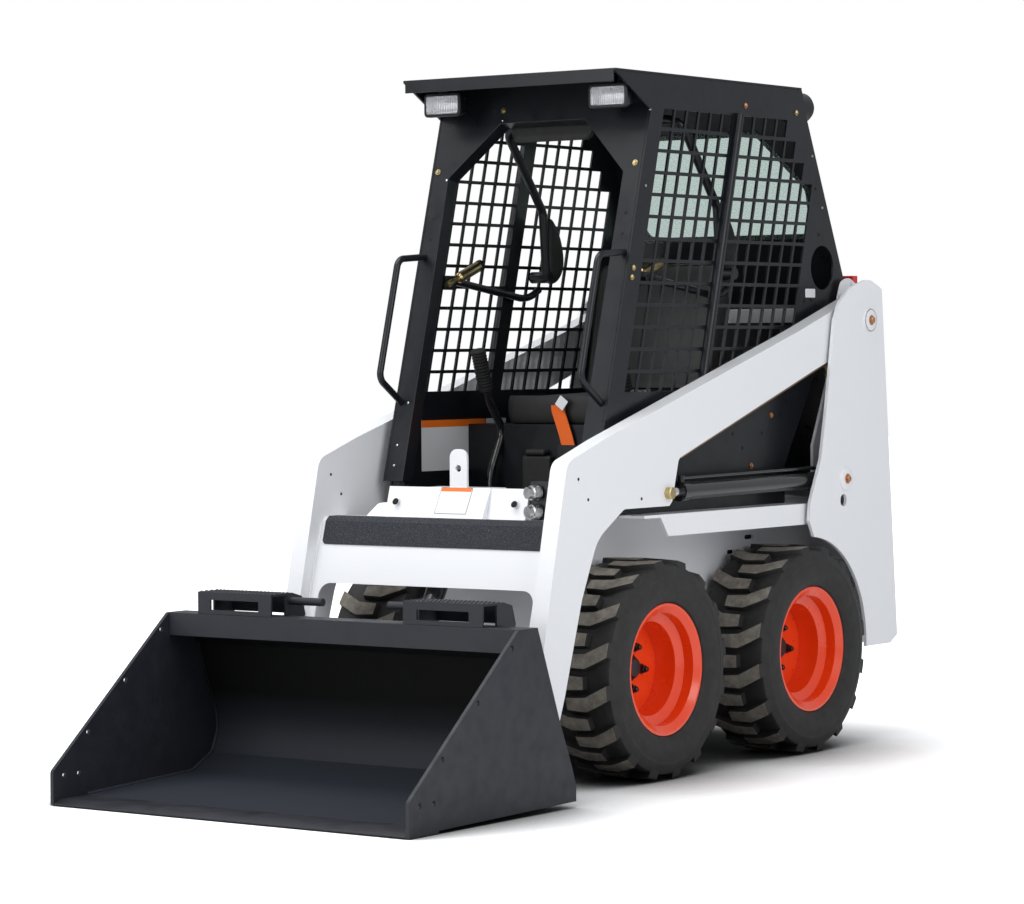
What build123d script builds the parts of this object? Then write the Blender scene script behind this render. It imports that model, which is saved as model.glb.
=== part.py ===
from build123d import *
from math import cos, hypot, radians, sin
import os

# Small skid steer loader: chassis, four wheels, radial lift arms, bucket and cab.
#
# Millimetres. +Z is up, the machine's front looks along -Y and its left side is +X.
# Sizes are written in machine coordinates, with y = 0 at the front axle and z = 0 at the
# ground. main() moves the finished pieces along Y, so that the origin of the exported
# pieces lies on the ground under the middle of the whole machine.

# ---------------------------------------------------------------- fits
face_gap = 0.3                 # between faces of pieces that turn or rest on each other
pin_fit = 0.05                 # radial clearance of a pin, rod or shaft in its bore
side_gap = 5.0                 # beside a moving arm, ear or door

# ---------------------------------------------------------------- wheels
wheelbase = 722.0
tyre_radius = 283.0            # to the lug tips
tyre_width = 216.0
overall_half_width = 450.5     # outer shoulder of the tyres
tyre_shoulder = 12.0           # slope from the tread floor to the sidewall
tyre_bulge_radius = 215.0      # radius at which the sidewall is widest
tread_depth = 17.0             # from the tread floor to the lug tips
lug_count = 16                 # on each half of the tread
lug_root = 20.0                # sunk into the tread floor
# A lug's stations: x from the tread's middle, lower and upper edge.
lug_edges = [(-28.0, -33.0, 0.0), (31.0, -36.0, 3.0), (95.0, -4.0, 36.0)]
bead_radius = 152.0
rim_flange_radius = 169.0
rim_flange_width = 8.0
rim_lip = 14.0                 # flange set in from the tyre's outer shoulder
rim_sheet = 7.0
rim_slope = 12.0
rim_seat_width = 40.0          # flange and bead seat, as seen from inside the rim
dish_radius = 121.0
dish_depth = 122.0             # wheel disc behind the outer flange
nut_circle = 114.0
nut_count = 5
nut_first = 64.0               # degrees from the rearward direction
nut_radius = 9.0
nut_length = 12.0
hub_cap_radius = 24.0
hub_cap_length = 18.0
hub_radius = 58.0              # drum behind the disc
axle_housing_radius = 62.0
axle_housing_length = 8.0

# ---------------------------------------------------------------- chassis
tub_gap = 21.5                 # between the tub's wall and the tyre
tub_sheet = 8.0
tub_front = -150.0
tub_rear = 1085.0
tub_bottom = 135.0
tub_ramp = 70.0                # slope of the belly at both ends
rail_top = 677.0
rail_lip = 57.0
rail_front = -60.0
rail_rear = 850.0
rail_nose = 70.0               # set back of the lip from the front of the rail
rail_chamfer = 42.0
rail_sheet = 8.0
upright_inset = 18.5           # upright's outer face inside the tyre's shoulder
upright_sheet = 9.0
arch_gap = 21.0                # around the rear tyre
upright_foot = 268.0
tie_down = (903.0, 680.0)      # hole for the transport chain
tie_down_radius = 17.0
tub_slots = [(738.0, 786.0, 580.0), (648.0, 687.0, 543.0)]     # y from, y to and z
tub_slot_height = 12.0
tail_depth = 40.0              # portal frame between the uprights
tail_bottom = 262.0
tail_beam = 48.0
door_gap = 6.0
door_thickness = 32.0
door_sheet = 5.0
door_louvres = 9
louvre_pitch = 38.0
louvre_height = 18.0
louvre_inset = 70.0
hinge_radius = 6.0
hinge_length = 70.0
hinge_inset = 4.0              # hinge axis from the door's edge
latch_size = (30.0, 12.0, 80.0)
door_open = 90.0
engine_size = (380.0, 380.0, 430.0)
engine_y = 815.0

# ---------------------------------------------------------------- lift arms
arm_outer_gap = 9.0            # between arm and outer upright plate
arm_thickness = 48.0
arm_sheet = 6.0
arm_pivot = (1049.0, 1176.0)   # y, z of the upper rear pivot
arm_boss_radius = 62.0
arm_hub_radius = 38.0
arm_pin_radius = 22.0
pin_head = 6.0
pin_head_ratio = 1.45          # head radius to pin radius
arm_lift_range = 74.0          # degrees up from the lowest position
coupler_pivot = (-515.0, 125.0)
coupler_boss_radius = 46.0
coupler_pin_radius = 16.0
panel_foot = (-440.0, 505.0)   # y, z of the lower front edge of the cross-member
panel_lean = 0.29              # it leans back by this much per mm of height
panel_step = 661.0             # height at which it bends over
panel_top = 672.0
panel_rear = -292.0
panel_sheet = 6.0
panel_skirt = 120.0            # side flanges below the lower edge
skirt_width = 27.0
skirt_round = 35.0
tread_bottom = 603.0
tread_sheet = 2.0
tread_inset = 14.0
tread_round = 12.0
bracket_half_width = 104.0
bracket_sheet = 8.0
bracket_rise = 39.0            # top of the tilt cylinder's bracket over its pin
wing_width = 118.0
lug_half_width = 27.0
lug_rise = 98.0
lug_hole_radius = 9.0

# ---------------------------------------------------------------- lift cylinders
lift_base = (914.0, 739.0)
lift_eye = (45.0, 731.0)
lift_barrel_radius = 23.0
lift_rod_radius = 14.0
lift_rod_show = 62.0           # bare rod between barrel and eye when closed
lift_rod_start = 60.0          # inner end of the rod, from the base pin
lift_eye_width = 30.0
lift_rod_ratio = 0.4241        # metres of rod per radian of arm
lift_barrel_ratio = 0.9277     # barrel turn per turn of the arm
cylinder_pin_radius = 11.0
eye_wall = 11.0
gland_length = 34.0
pipe_radius = 5.0              # steel pipe along the lift barrel
pipe_gap = 5.0
port_radius = 8.0

# ---------------------------------------------------------------- tilt cylinder
tilt_base = (-262.0, 711.0)
tilt_eye = (-535.0, 255.0)
tilt_barrel_radius = 26.0
tilt_rod_radius = 15.0
tilt_rod_show = 58.0
tilt_rod_start = 92.0
tilt_eye_width = 44.0
tilt_rod_ratio = 0.0998        # metres of rod per radian of bucket
tilt_barrel_ratio = -0.0251
tilt_back = 25.0               # degrees of roll back
tilt_dump = 105.0              # degrees of dump from the flat floor

# ---------------------------------------------------------------- bucket
bucket_half_width = 548.0
bucket_side = 10.0
bucket_sheet = 7.0
bucket_front = -1230.0
bucket_heel = -568.0
bucket_top = 444.0
bucket_bottom = 2.0
edge_depth = 112.0
edge_thickness = 14.0
beam_front = -800.0
beam_rear = -724.0
beam_depth = 58.0
beam_sheet = 6.0
side_hole_radius = 6.5
side_holes = [(-1190.0, 72.0), (-1137.0, 72.0), (-1103.0, 169.0), (-965.0, 286.0), (-829.0, 403.0)]
step_span = (205.0, 442.0)     # x of a step's inner and outer end
step_height = 56.0
step_sheet = 6.0
step_frame = 41.0              # beside the window in the step's front
step_rear = -664.0
step_ends = -742.0             # front edge of the step's end plates
latch_rod_radius = 10.0
latch_rod_end = 103.0
coupler_sheet = 10.0
coupler_ear = 16.0
cheek_inner = 34.0             # half of the room for the tilt rod's eye
cheek_sheet = 12.0

# ---------------------------------------------------------------- cab
cab_gap = 27.0                 # between cab wall and lift arm
cab_sheet = 6.0
floor_height = 700.0
foot_height = 57.0             # the front posts stand on rubber feet
foot_radius = 20.0
cab_foot = floor_height + foot_height
roof_top = 1814.0
roof_front = -72.0
roof_rear = 845.0
roof_sheet = 6.0
roof_lip = 34.0
front_plane = (-172.0, cab_foot, 0.274)  # y, z at the foot and lean per mm of height
rear_plane = (873.0, 1726.0, -0.4476)
cab_back = 1212.0              # lower edge of the rear wall
post_width = 58.0
post_depth = 42.0
header_bottom = 1700.0
opening_half_width = 134.0
chamfer_half_width = 280.0
chamfer_bottom = 1558.0
grille_hole = (49.0, 48.0)
grille_pitch = (58.0, 57.0)
grille_rows = 13
grille_columns = (6, 7)        # before and behind the middle post
grille_bottom = 990.0
grille_lean = 0.262            # slant of the slots
grille_front = 70.0            # behind the front edge of the wall
grille_margin = 66.0
post_band = 53.0               # closed strip under the middle post
post_radius = 12.0
post_lean = 0.27
post_start = 350.0             # foot of the middle post behind the grille's front
post_top = 1725.0
vent_spot = (950.0, 1322.0)
vent_radius = 61.0
head_pad_half_width = 130.0
head_pad_drop = 50.0           # below the header
head_pad_height = 74.0
head_pad_depth = 30.0
lamp_span = (205.0, 325.0)     # x of a front lamp
lamp_face = 0.0
lamp_height = 63.0
lamp_drop = 32.0               # below the top of the roof
lamp_rim = 14.0
lamp_depth = 48.0
lamp_round = 12.0
rear_lamp_x = 290.0
rear_lamp_drop = 50.0
rear_lamp_radius = 42.0
rear_lamp_reach = 78.0
handle_radius = 9.0
handle_reach = 112.0
floor_sheet = 8.0
seat_box_top = 900.0
seat_half_width = 210.0
seat_bar_pivot = (505.0, 1300.0)
seat_bar_inset = 48.0          # from the cab's wall to the tube's axis
seat_bar_radius = 12.0
seat_bar_drop = 75.0

# ---------------------------------------------------------------- worked out
axle_height = tyre_radius
tyre_inner = overall_half_width - tyre_width
flange_outer = overall_half_width - rim_lip
flange_inner = tyre_inner + rim_lip
disc_face = flange_outer - dish_depth
tub_half_width = tyre_inner - tub_gap
upright_outer = overall_half_width - upright_inset
arm_outer = upright_outer - upright_sheet - arm_outer_gap
arm_inner = arm_outer - arm_thickness
upright_inner = arm_inner - side_gap - upright_sheet
cab_half_width = arm_inner - cab_gap
cab_inside = cab_half_width - cab_sheet
bucket_inside = bucket_half_width - bucket_side
tail_front = tub_rear
tail_top = cab_back - face_gap
door_front = tail_front + tail_depth + face_gap
door_face = door_front + door_thickness
door_half_width = upright_inner - door_gap
door_hinge = (hinge_inset - door_half_width, door_face)
rear_end = 1200.0
lift_x = (arm_outer + arm_inner) / 2


def along(plane, z):
    """y of a leaning plane at height z."""
    return plane[0] + (z - plane[1]) * plane[2]


def flat(points, radii=None):
    """Closed outline in the Y-Z plane. radii maps the index of a corner to its radius."""
    face = make_face(Plane.YZ * Polyline(*points, close=True))
    for index, radius in (radii or {}).items():
        spot = Vector(0, *points[index])
        corner = min(face.vertices(), key=lambda v: (Vector(v) - spot).length)
        face = fillet(corner, radius)
    return face


def slab(face, x0, x1):
    """The outline thickened from x0 to x1."""
    return extrude(Pos(x0, 0, 0) * face, amount=x1 - x0, dir=(1, 0, 0))


def bar(radius, x0, x1, at):
    """Round bar along X at (y, z)."""
    return Pos(x0, at[0], at[1]) * extrude(Plane.YZ * Circle(radius), amount=x1 - x0, dir=(1, 0, 0))


def block(x0, x1, y0, y1, z0, z1):
    return Pos((x0 + x1) / 2, (y0 + y1) / 2, (z0 + z1) / 2) * Box(x1 - x0, y1 - y0, z1 - z0)


def mirrored(shape):
    """The same piece on the machine's right side."""
    return mirror(shape, about=Plane.YZ)


def both(*shapes):
    """Pieces of the left side with their twins on the right, as one node."""
    return Compound(children=[s for shape in shapes for s in (shape, mirrored(shape))])


def rod_between(a, b, radius, x=0.0):
    """Round rod from a to b, both (y, z), in the plane at x."""
    start = Vector(x, *a)
    way = Vector(x, *b) - start
    return extrude(Plane(origin=start, z_dir=way) * Circle(radius), amount=way.length)


# ---------------------------------------------------------------- wheels
def ring(points, at_y):
    """Ring turned about the wheel axis from (x, radius) points."""
    face = make_face(Plane.XY * Polyline(*points, close=True))
    return Pos(0, at_y, axle_height) * revolve(face, axis=Axis.X)


def nut_spots(at_y):
    reach = nut_circle / 2
    turns = [radians(nut_first + k * 360.0 / nut_count) for k in range(nut_count)]
    return [(at_y + reach * cos(turn), axle_height + reach * sin(turn)) for turn in turns]


def wheel(at_y):
    """Rim with a deep disc, and the hub drum, the cap and the nuts on it."""
    lip = rim_flange_radius - rim_sheet
    seat = bead_radius - rim_sheet
    front = disc_face + rim_sheet
    profile = [
        (flange_outer, rim_flange_radius), (flange_outer, lip), (flange_outer - rim_slope, seat),
        (flange_outer - rim_seat_width, seat), (flange_outer - rim_seat_width - rim_slope, dish_radius),
        (front, dish_radius), (front, 0), (disc_face, 0), (disc_face, dish_radius),
        (flange_inner + rim_seat_width, dish_radius), (flange_inner, lip), (flange_inner, rim_flange_radius),
        (flange_inner + rim_flange_width, rim_flange_radius), (flange_inner + rim_flange_width, bead_radius),
        (flange_outer - rim_flange_width, bead_radius), (flange_outer - rim_flange_width, rim_flange_radius),
    ]
    body = ring(profile, at_y)
    axle = (at_y, axle_height)
    body += bar(hub_radius, tub_half_width + axle_housing_length + face_gap, disc_face, axle)
    body += bar(hub_cap_radius, disc_face, front + hub_cap_length, axle)
    nut = extrude(Plane.YZ * RegularPolygon(nut_radius, 6), amount=rim_sheet + nut_length, dir=(1, 0, 0))
    for y, z in nut_spots(at_y):
        body += Pos(disc_face, y, z) * nut
    return body


def flat_sided(points, sides):
    """Barrel about the X axis through (x, radius) points, with as many flats as given."""
    turns = [radians((k + 0.5) * 360 / sides) for k in range(sides)]
    loops = [[Vector(x, r * cos(turn), r * sin(turn)) for turn in turns] for x, r in points]
    faces = [make_face(Polyline(*loop, close=True)) for loop in (loops[0], loops[-1])]
    for near, far in zip(loops, loops[1:]):
        for k in range(sides):
            corners = (near[k - 1], near[k], far[k], far[k - 1])
            faces.append(make_face(Polyline(*corners, close=True)))
    return Solid(Shell(faces))


def tyre(at_y):
    """Tyre on the rim: a carcass with as many flats as lugs, and two rows of angled lugs."""
    floor = tyre_radius - tread_depth
    sides = 2 * lug_count
    inner_bead = flange_inner + rim_flange_width + face_gap
    outer_bead = flange_outer - rim_flange_width - face_gap
    body = flat_sided([
        (inner_bead, rim_flange_radius + 2), (tyre_inner, tyre_bulge_radius),
        (tyre_inner + tyre_shoulder, floor), (overall_half_width - tyre_shoulder, floor),
        (overall_half_width, tyre_bulge_radius), (outer_bead, rim_flange_radius + 2),
    ], sides)
    bore = (bead_radius + face_gap) / cos(radians(180 / lug_count))
    body -= flat_sided([(tyre_inner, bore), (overall_half_width, bore)], lug_count)
    middle = (tyre_inner + overall_half_width) / 2
    reach = max(abs(edge) for _, low, high in lug_edges for edge in (low, high))
    tip = (tyre_radius ** 2 - reach ** 2) ** 0.5
    lugs = []
    for k in range(sides):
        side = 1 if k % 2 else -1
        line = [(side * x, low) for x, low, _ in lug_edges]
        line += [(side * x, high) for x, _, high in reversed(lug_edges)]
        turn = radians(k * 360 / sides)
        outward = Vector(0, cos(turn), sin(turn))
        root = Vector(middle, 0, 0) + outward * (floor - lug_root)
        face = make_face(Polyline(*line, close=True))
        plane = Plane(origin=root, x_dir=(1, 0, 0), z_dir=outward)
        lugs.append(extrude(plane * face, amount=tip - floor + lug_root))
    return Pos(0, at_y, axle_height) * (body + lugs)


# ---------------------------------------------------------------- chassis
def chassis_tub():
    """Open-topped hull between the wheels, with the four axle housings on its walls."""
    top = floor_height - face_gap
    lower = tub_bottom + tub_ramp
    outline = [
        (tub_front, lower), (tub_front + tub_ramp, tub_bottom), (tub_rear - tub_ramp, tub_bottom),
        (tub_rear - face_gap, lower), (tub_rear - face_gap, rail_top), (rail_rear, top), (tub_front, top),
    ]
    t = tub_sheet
    inner = [
        (tub_front + t, lower + t / 2), (tub_front + tub_ramp + t / 2, tub_bottom + t),
        (tub_rear - tub_ramp - t / 2, tub_bottom + t), (tub_rear + t, lower + t + t / 2),
        (tub_rear + t, top + t), (tub_front + t, top + t),
    ]
    body = slab(flat(outline), -tub_half_width, tub_half_width)
    body -= slab(flat(inner), -tub_half_width + t, tub_half_width - t)
    reach = tub_half_width + axle_housing_length
    for at_y in (0.0, wheelbase):
        axle = (at_y, axle_height)
        body += bar(axle_housing_radius, tub_half_width, reach, axle)
        body += bar(axle_housing_radius, -reach, -tub_half_width, axle)
    for y0, y1, z in tub_slots:
        slot = Pos(0, (y0 + y1) / 2, z) * (Plane.YZ * SlotOverall(y1 - y0, tub_slot_height))
        body -= extrude(slot, amount=reach, both=True)
    return body


def fender_rail():
    """Folded deck above the wheels: flat top, outer lip and a strip beside the tail."""
    start = tub_half_width + face_gap
    outer = arm_outer - 2
    body = block(start, outer, rail_front, rail_rear, rail_top - rail_sheet, rail_top)
    body += block(start, upright_inner - face_gap, rail_rear, tail_front, rail_top - rail_sheet, rail_top)
    lip = flat([
        (rail_front + rail_nose, rail_top), (rail_front + rail_nose + rail_chamfer, rail_top - rail_lip),
        (rail_rear, rail_top - rail_lip), (rail_rear, rail_top),
    ])
    return body + slab(lip, outer - rail_sheet, outer)


def upright():
    """Tail post: two plates joined by a web behind the arm, cut round the rear wheel."""
    y, z = arm_pivot
    outer = [
        (858, z), (884, z + 48), (948, z + 90), (1028, z + 112), (1058, z + 111), (1119, z + 88),
        (rear_end, 290), (1160, upright_foot), (1000, upright_foot), (760, 560), (719, 631), (726, 681),
        (783, 796), (811, 921), (840, 1074),
    ]
    face = flat(outer, {1: 40, 2: 60, 3: 80, 5: 12, 14: 200})
    plate = slab(face, upright_outer - upright_sheet, upright_outer)
    inner = [
        (1005, z + 64), (1024, z + 108), (1060, z + 120), (1119, z + 92), (rear_end, 290),
        (1160, upright_foot), (1090, upright_foot), (1040, 600), (860, rail_top), (860, 830), (985, 1100),
    ]
    plate_in = slab(flat(inner, {1: 30, 2: 30}), upright_inner, upright_inner + upright_sheet)
    back = [
        (1137, 1050), (rear_end - 10, 290), (1160, upright_foot + 8), (1152, upright_foot + 8), (1128, 1050),
    ]
    body = plate + plate_in + slab(flat(back), upright_inner, upright_outer)
    body -= bar(tyre_radius + arch_gap, upright_inner - 1, upright_outer + 1, (wheelbase, axle_height))
    for spot, radius in ((arm_pivot, arm_pin_radius), (lift_base, cylinder_pin_radius)):
        body -= bar(radius + pin_fit, upright_inner - 1, upright_outer + 1, spot)
    return body - bar(tie_down_radius, upright_outer - upright_sheet - 1, upright_outer + 1, tie_down)


def chassis_pins():
    """Pivot pins of the arm and of the lift cylinder's base, each with a round head."""
    pins = []
    for spot, radius in ((arm_pivot, arm_pin_radius), (lift_base, cylinder_pin_radius)):
        pin = bar(radius, upright_inner, upright_outer + face_gap, spot)
        head = bar(radius * pin_head_ratio, upright_outer + face_gap, upright_outer + pin_head, spot)
        pins.append(pin + head)
    return both(*pins)


def tail_frame():
    """Portal frame between the uprights, which carries the rear door."""
    half = upright_inner - face_gap
    rear = tail_front + tail_depth
    body = block(-half, half, tail_front, rear, tail_bottom, tail_top)
    body -= block(
        -half + tail_beam, half - tail_beam, tail_front - 1, rear + 1,
        tail_bottom + tail_beam, tail_top - tail_beam,
    )
    return body


def rear_door():
    """Folded rear door with louvres in its upper half, hinge knuckles and a latch."""
    half = door_half_width
    sheet = door_sheet
    bottom = tail_bottom + 12
    top = tail_top - 40
    body = block(-half, half, door_front, door_face, bottom, top)
    body -= block(-half + sheet, half - sheet, door_front - 1, door_face - sheet, bottom + sheet, top - sheet)
    for k in range(door_louvres):
        z = top - 60 - k * louvre_pitch
        reach = half - louvre_inset
        body -= block(-reach, reach, door_face - sheet - 1, door_face + 1, z - louvre_height, z)
    knuckle = extrude(Circle(hinge_radius), amount=hinge_length)
    for z in (bottom + hinge_length, (bottom + top - hinge_length) / 2, top - 2 * hinge_length):
        body += Pos(*door_hinge, z) * knuckle
    wide, deep, tall = latch_size
    latch = Pos(half - louvre_inset / 2, door_face + deep / 2 - 1, (bottom + top) / 2) * Box(wide, deep, tall)
    return body + fillet(latch.edges().filter_by(Axis.Y), wide / 3)


def engine_block():
    x, y, z = engine_size
    floor = tub_bottom + tub_sheet + face_gap
    return block(-x / 2, x / 2, engine_y - y / 2, engine_y + y / 2, floor, floor + z)


# ---------------------------------------------------------------- lift arms
def arm_outline():
    """Side view of a lift arm: leg, elbow, long beam and the lobe round the cylinder's eye."""
    foot_y, foot_z = coupler_pivot
    y, z = arm_pivot
    r = coupler_boss_radius
    return [
        (-405, 822), (-250, 873), (700, 1146), (y - 60, z + 60), (y, z + arm_boss_radius),
        (y + arm_boss_radius, z), (y, z - arm_boss_radius), (y - 60, z - 76), (800, 1046),
        (98, 818), (67, 710), (53, 698), (-155, 698), (-275, 627), (-345, 480), (-420, 250),
        (foot_y + r, foot_z), (foot_y, foot_z - r), (foot_y - r, foot_z), (-553, 185),
    ]


def lift_arm():
    """Box-section arm of bent plate, with pivot hubs and an open lobe for the lift rod's eye."""
    rounds = {0: 40, 4: 30, 5: 40, 6: 40, 9: 20, 10: 8, 12: 30, 13: 110, 14: 60, 16: 30, 17: 30, 18: 30}
    face = flat(arm_outline(), rounds)
    body = slab(face, arm_inner, arm_outer)
    cavity = offset(face, amount=-arm_sheet, kind=Kind.INTERSECTION)
    body -= slab(cavity, arm_inner + arm_sheet, arm_outer - arm_sheet)
    hub_inner = arm_inner - side_gap + face_gap
    hub_outer = arm_outer + arm_outer_gap - face_gap
    body += bar(arm_hub_radius, hub_inner, hub_outer, arm_pivot)
    body += bar(coupler_pin_radius * 2, arm_inner, arm_outer, coupler_pivot)
    eye_y, eye_z = lift_eye
    body -= block(
        arm_inner + arm_sheet, arm_outer - arm_sheet, eye_y - 125, eye_y + 70, eye_z - 95, eye_z + 82,
    )
    body -= bar(arm_pin_radius + pin_fit, arm_inner - 10, arm_outer + 10, arm_pivot)
    body -= bar(coupler_pin_radius + pin_fit, arm_inner - 1, arm_outer + 1, coupler_pivot)
    body -= bar(cylinder_pin_radius + pin_fit, arm_outer - arm_sheet - 1, arm_outer + 1, lift_eye)
    return body


def arm_pins():
    """Bolt heads at the lift rods' eyes, the coupler's pins and the tilt cylinder's base pin."""
    eye_bolt = bar(cylinder_pin_radius, arm_outer - arm_sheet, arm_outer + 14, lift_eye)
    eye_bolt += bar(cylinder_pin_radius + 3, arm_outer + face_gap, arm_outer + 9, lift_eye)
    ear_inner = arm_inner - side_gap - coupler_ear
    foot_pin = bar(coupler_pin_radius, ear_inner - 4, arm_outer + pin_head, coupler_pivot)
    tilt_pin = bar(cylinder_pin_radius, -bracket_half_width - 10, bracket_half_width + 10, tilt_base)
    pins = both(eye_bolt, foot_pin)
    return Compound(children=[*pins.solids(), tilt_pin])


def cross_line(inset):
    """Folded section of the cross-member's plate, inset from its outer faces."""
    foot_y, foot_z = panel_foot
    low_y = foot_y - panel_skirt * panel_lean
    step_y = foot_y + (panel_step - foot_z) * panel_lean
    return [
        (low_y + inset, foot_z - panel_skirt), (step_y + inset, panel_step - inset / 2),
        (step_y + 13 + inset / 2, panel_top - inset), (panel_rear - inset, panel_top - inset),
        (panel_rear - inset, panel_top - 50),
    ]


def front_prism(half, low, high, radii):
    """Prism along Y over -half to half and low to high, with rounded lower and upper corners."""
    face = make_face(Plane.XZ * Polyline((-half, low), (half, low), (half, high), (-half, high), close=True))
    for z, radius in zip((low, high), radii):
        if radius:
            face = fillet([v for v in face.vertices() if abs(v.Z - z) < 0.1], radius)
    return extrude(face, amount=1000, both=True)


def cross_member():
    """Folded plate between the arms, with side skirts and the tilt cylinder's bracket."""
    half = arm_inner - face_gap
    section = [*cross_line(0), *reversed(cross_line(panel_sheet))]
    body = slab(flat(section), -half, half)
    foot_z = panel_foot[1]
    body -= front_prism(half - skirt_width, foot_z - 2 * panel_skirt, foot_z, (0, skirt_round))
    y, z = tilt_base
    top = z + bracket_rise
    cover = flat([(y - 76, panel_top), (y - 36, top), (y + 30, top), (y + 30, panel_top)])
    inside = flat([(y - 68, panel_top - 1), (y - 30, top - 7), (y + 31, top - 7), (y + 31, panel_top - 1)])
    body += slab(cover, -bracket_half_width, bracket_half_width)
    reach = bracket_half_width - bracket_sheet
    body -= slab(inside, -reach, reach)
    hub_inner = tilt_eye_width / 2 + face_gap
    for x0, x1 in ((hub_inner, reach), (-reach, -hub_inner)):
        body += bar(cylinder_pin_radius + 5, x0, x1, tilt_base)
    wing = slab(flat([(y - 54, panel_top), (y - 32, top), (y - 24, top), (y - 46, panel_top)]), 0, wing_width)
    for x0 in (bracket_half_width, -bracket_half_width - wing_width):
        body += Pos(x0, 0, 0) * wing
    lug = block(-lug_half_width, lug_half_width, y - 34, y - 26, top - 1, z + bracket_rise + lug_rise)
    lug = fillet(lug.edges().filter_by(Axis.Y).group_by(Axis.Z)[-1], lug_half_width - 5)
    body += lug - Pos(0, y - 30, top + lug_rise / 2) * (Rot(90, 0, 0) * Cylinder(lug_hole_radius, 20))
    half_slot = tilt_barrel_radius + 14
    body -= block(-half_slot, half_slot, y - 72, panel_rear + 30, panel_top - 60, panel_top + 1)
    body -= bar(cylinder_pin_radius + pin_fit, -bracket_half_width - 1, bracket_half_width + 1, tilt_base)
    return body


def step_tread():
    """Thin anti-slip sheet over the upper half of the cross-member's front."""
    foot_y, foot_z = panel_foot
    low_y = foot_y + (tread_bottom - foot_z) * panel_lean
    high_y = foot_y + (panel_step - foot_z) * panel_lean
    rear_y = panel_rear - 56
    t = tread_sheet
    g = face_gap
    section = [
        (low_y - g, tread_bottom), (high_y - g, panel_step + g), (high_y + 13 - g, panel_top + g),
        (rear_y, panel_top + g), (rear_y, panel_top + g + t), (high_y + 12 - g, panel_top + g + t),
        (high_y - g - t, panel_step + g + 1), (low_y - g - t, tread_bottom),
    ]
    half = arm_inner - tread_inset
    outline = front_prism(half, tread_bottom, panel_top + 50, (tread_round, 0))
    return slab(flat(section), -half, half) & outline


# ---------------------------------------------------------------- cylinders
def cylinder(base, eye, barrel_radius, rod_radius, show, start, retract, width, x, piped=False):
    """Barrel and rod lying from base pin to rod eye, both (y, z), in the plane at x.

    The bore leaves the rod room to retract further than at rest by the given length. A piped
    barrel has its oil pipe along the top.
    """
    way = Vector(0, *eye) - Vector(0, *base)
    unit = way.normalized()

    def at(distance, above=0.0):
        spot = Vector(0, *base) + unit * distance + Vector(0, unit.Z, -unit.Y) * above
        return (spot.Y, spot.Z)

    eye_radius = cylinder_pin_radius + eye_wall
    end = way.length - eye_radius - show
    barrel = rod_between(at(eye_radius - 4), at(end), barrel_radius, x)
    barrel += rod_between(at(end - gland_length), at(end - 4), barrel_radius + 3, x)
    if piped:
        lift = barrel_radius + pipe_gap + pipe_radius
        ports = (eye_radius + 2 * port_radius, end - gland_length / 2)
        barrel += rod_between(at(ports[0], lift), at(ports[1], lift), pipe_radius, x)
        for port in ports:
            barrel += rod_between(at(port, barrel_radius - 4), at(port, lift + port_radius), port_radius, x)
    barrel += bar(eye_radius, x - width / 2, x + width / 2, base)
    barrel -= rod_between(at(start - retract - 10), at(end + 1), rod_radius + pin_fit, x)
    barrel -= bar(cylinder_pin_radius + pin_fit, x - width, x + width, base)
    rod = rod_between(at(start), at(way.length - eye_radius + 4), rod_radius, x)
    rod += bar(eye_radius, x - width / 2, x + width / 2, eye)
    rod -= bar(cylinder_pin_radius + pin_fit, x - width, x + width, eye)
    return barrel, rod


# ---------------------------------------------------------------- bucket
# Outer line of the bucket's floor and back, from the cutting edge up: y, z.
bucket_back = [
    (bucket_front + edge_depth, 9.0), (-720, 27), (-634, 72), (-610, 128), (-614, 178), (-690, 376),
]


def bucket_sides():
    """Side plates, with a row of holes for bolt-on teeth and sideboards."""
    outline = [
        (bucket_front, bucket_bottom), (bucket_front, bucket_bottom + 82), (beam_front, bucket_top),
        (beam_rear, bucket_top),
        (-633, 210), (-587, 104), (bucket_heel, 52), (bucket_heel, 16),
        (bucket_front + edge_depth, bucket_bottom + 6), (bucket_front + edge_depth, bucket_bottom),
    ]
    body = slab(flat(outline, {1: 14, 2: 14}), bucket_inside, bucket_half_width)
    for spot in side_holes:
        body -= bar(side_hole_radius, bucket_inside - 1, bucket_half_width + 1, spot)
    return both(body)


def bucket_shell():
    """Rolled floor and back in one sheet, closed on top by a hollow box beam."""
    t = bucket_sheet
    inner = [(y, z + t) if index < 2 else (y - t, z + t / 3) for index, (y, z) in enumerate(bucket_back)]
    floor = flat([*bucket_back, *reversed(inner)])
    back_y, back_z = bucket_back[-1]
    low = bucket_top - beam_depth
    beam = flat([
        (beam_front, low), (beam_front, bucket_top), (beam_rear, bucket_top), (back_y, back_z),
        (back_y + 5, back_z - 14), (back_y - 8, back_z - 14), (beam_rear + 12, low),
    ])
    w = beam_sheet
    hollow = flat([
        (beam_front + w, low + w), (beam_front + w, bucket_top - w), (beam_rear - 4, bucket_top - w),
        (back_y - 2 * w, back_z + 16),
    ])
    body = slab(floor, -bucket_inside, bucket_inside) + slab(beam, -bucket_inside, bucket_inside)
    return body - slab(hollow, -bucket_inside + 10, bucket_inside - 10)


def cutting_edge():
    """Flat bar welded under the floor's front, ground to a bevel."""
    top = bucket_bottom + edge_thickness
    face = flat([
        (bucket_front, bucket_bottom), (bucket_front, bucket_bottom + 4), (bucket_front + 24, top),
        (bucket_front + edge_depth - face_gap, top), (bucket_front + edge_depth - face_gap, bucket_bottom),
    ])
    return slab(face, -bucket_inside + face_gap, bucket_inside - face_gap)


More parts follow.
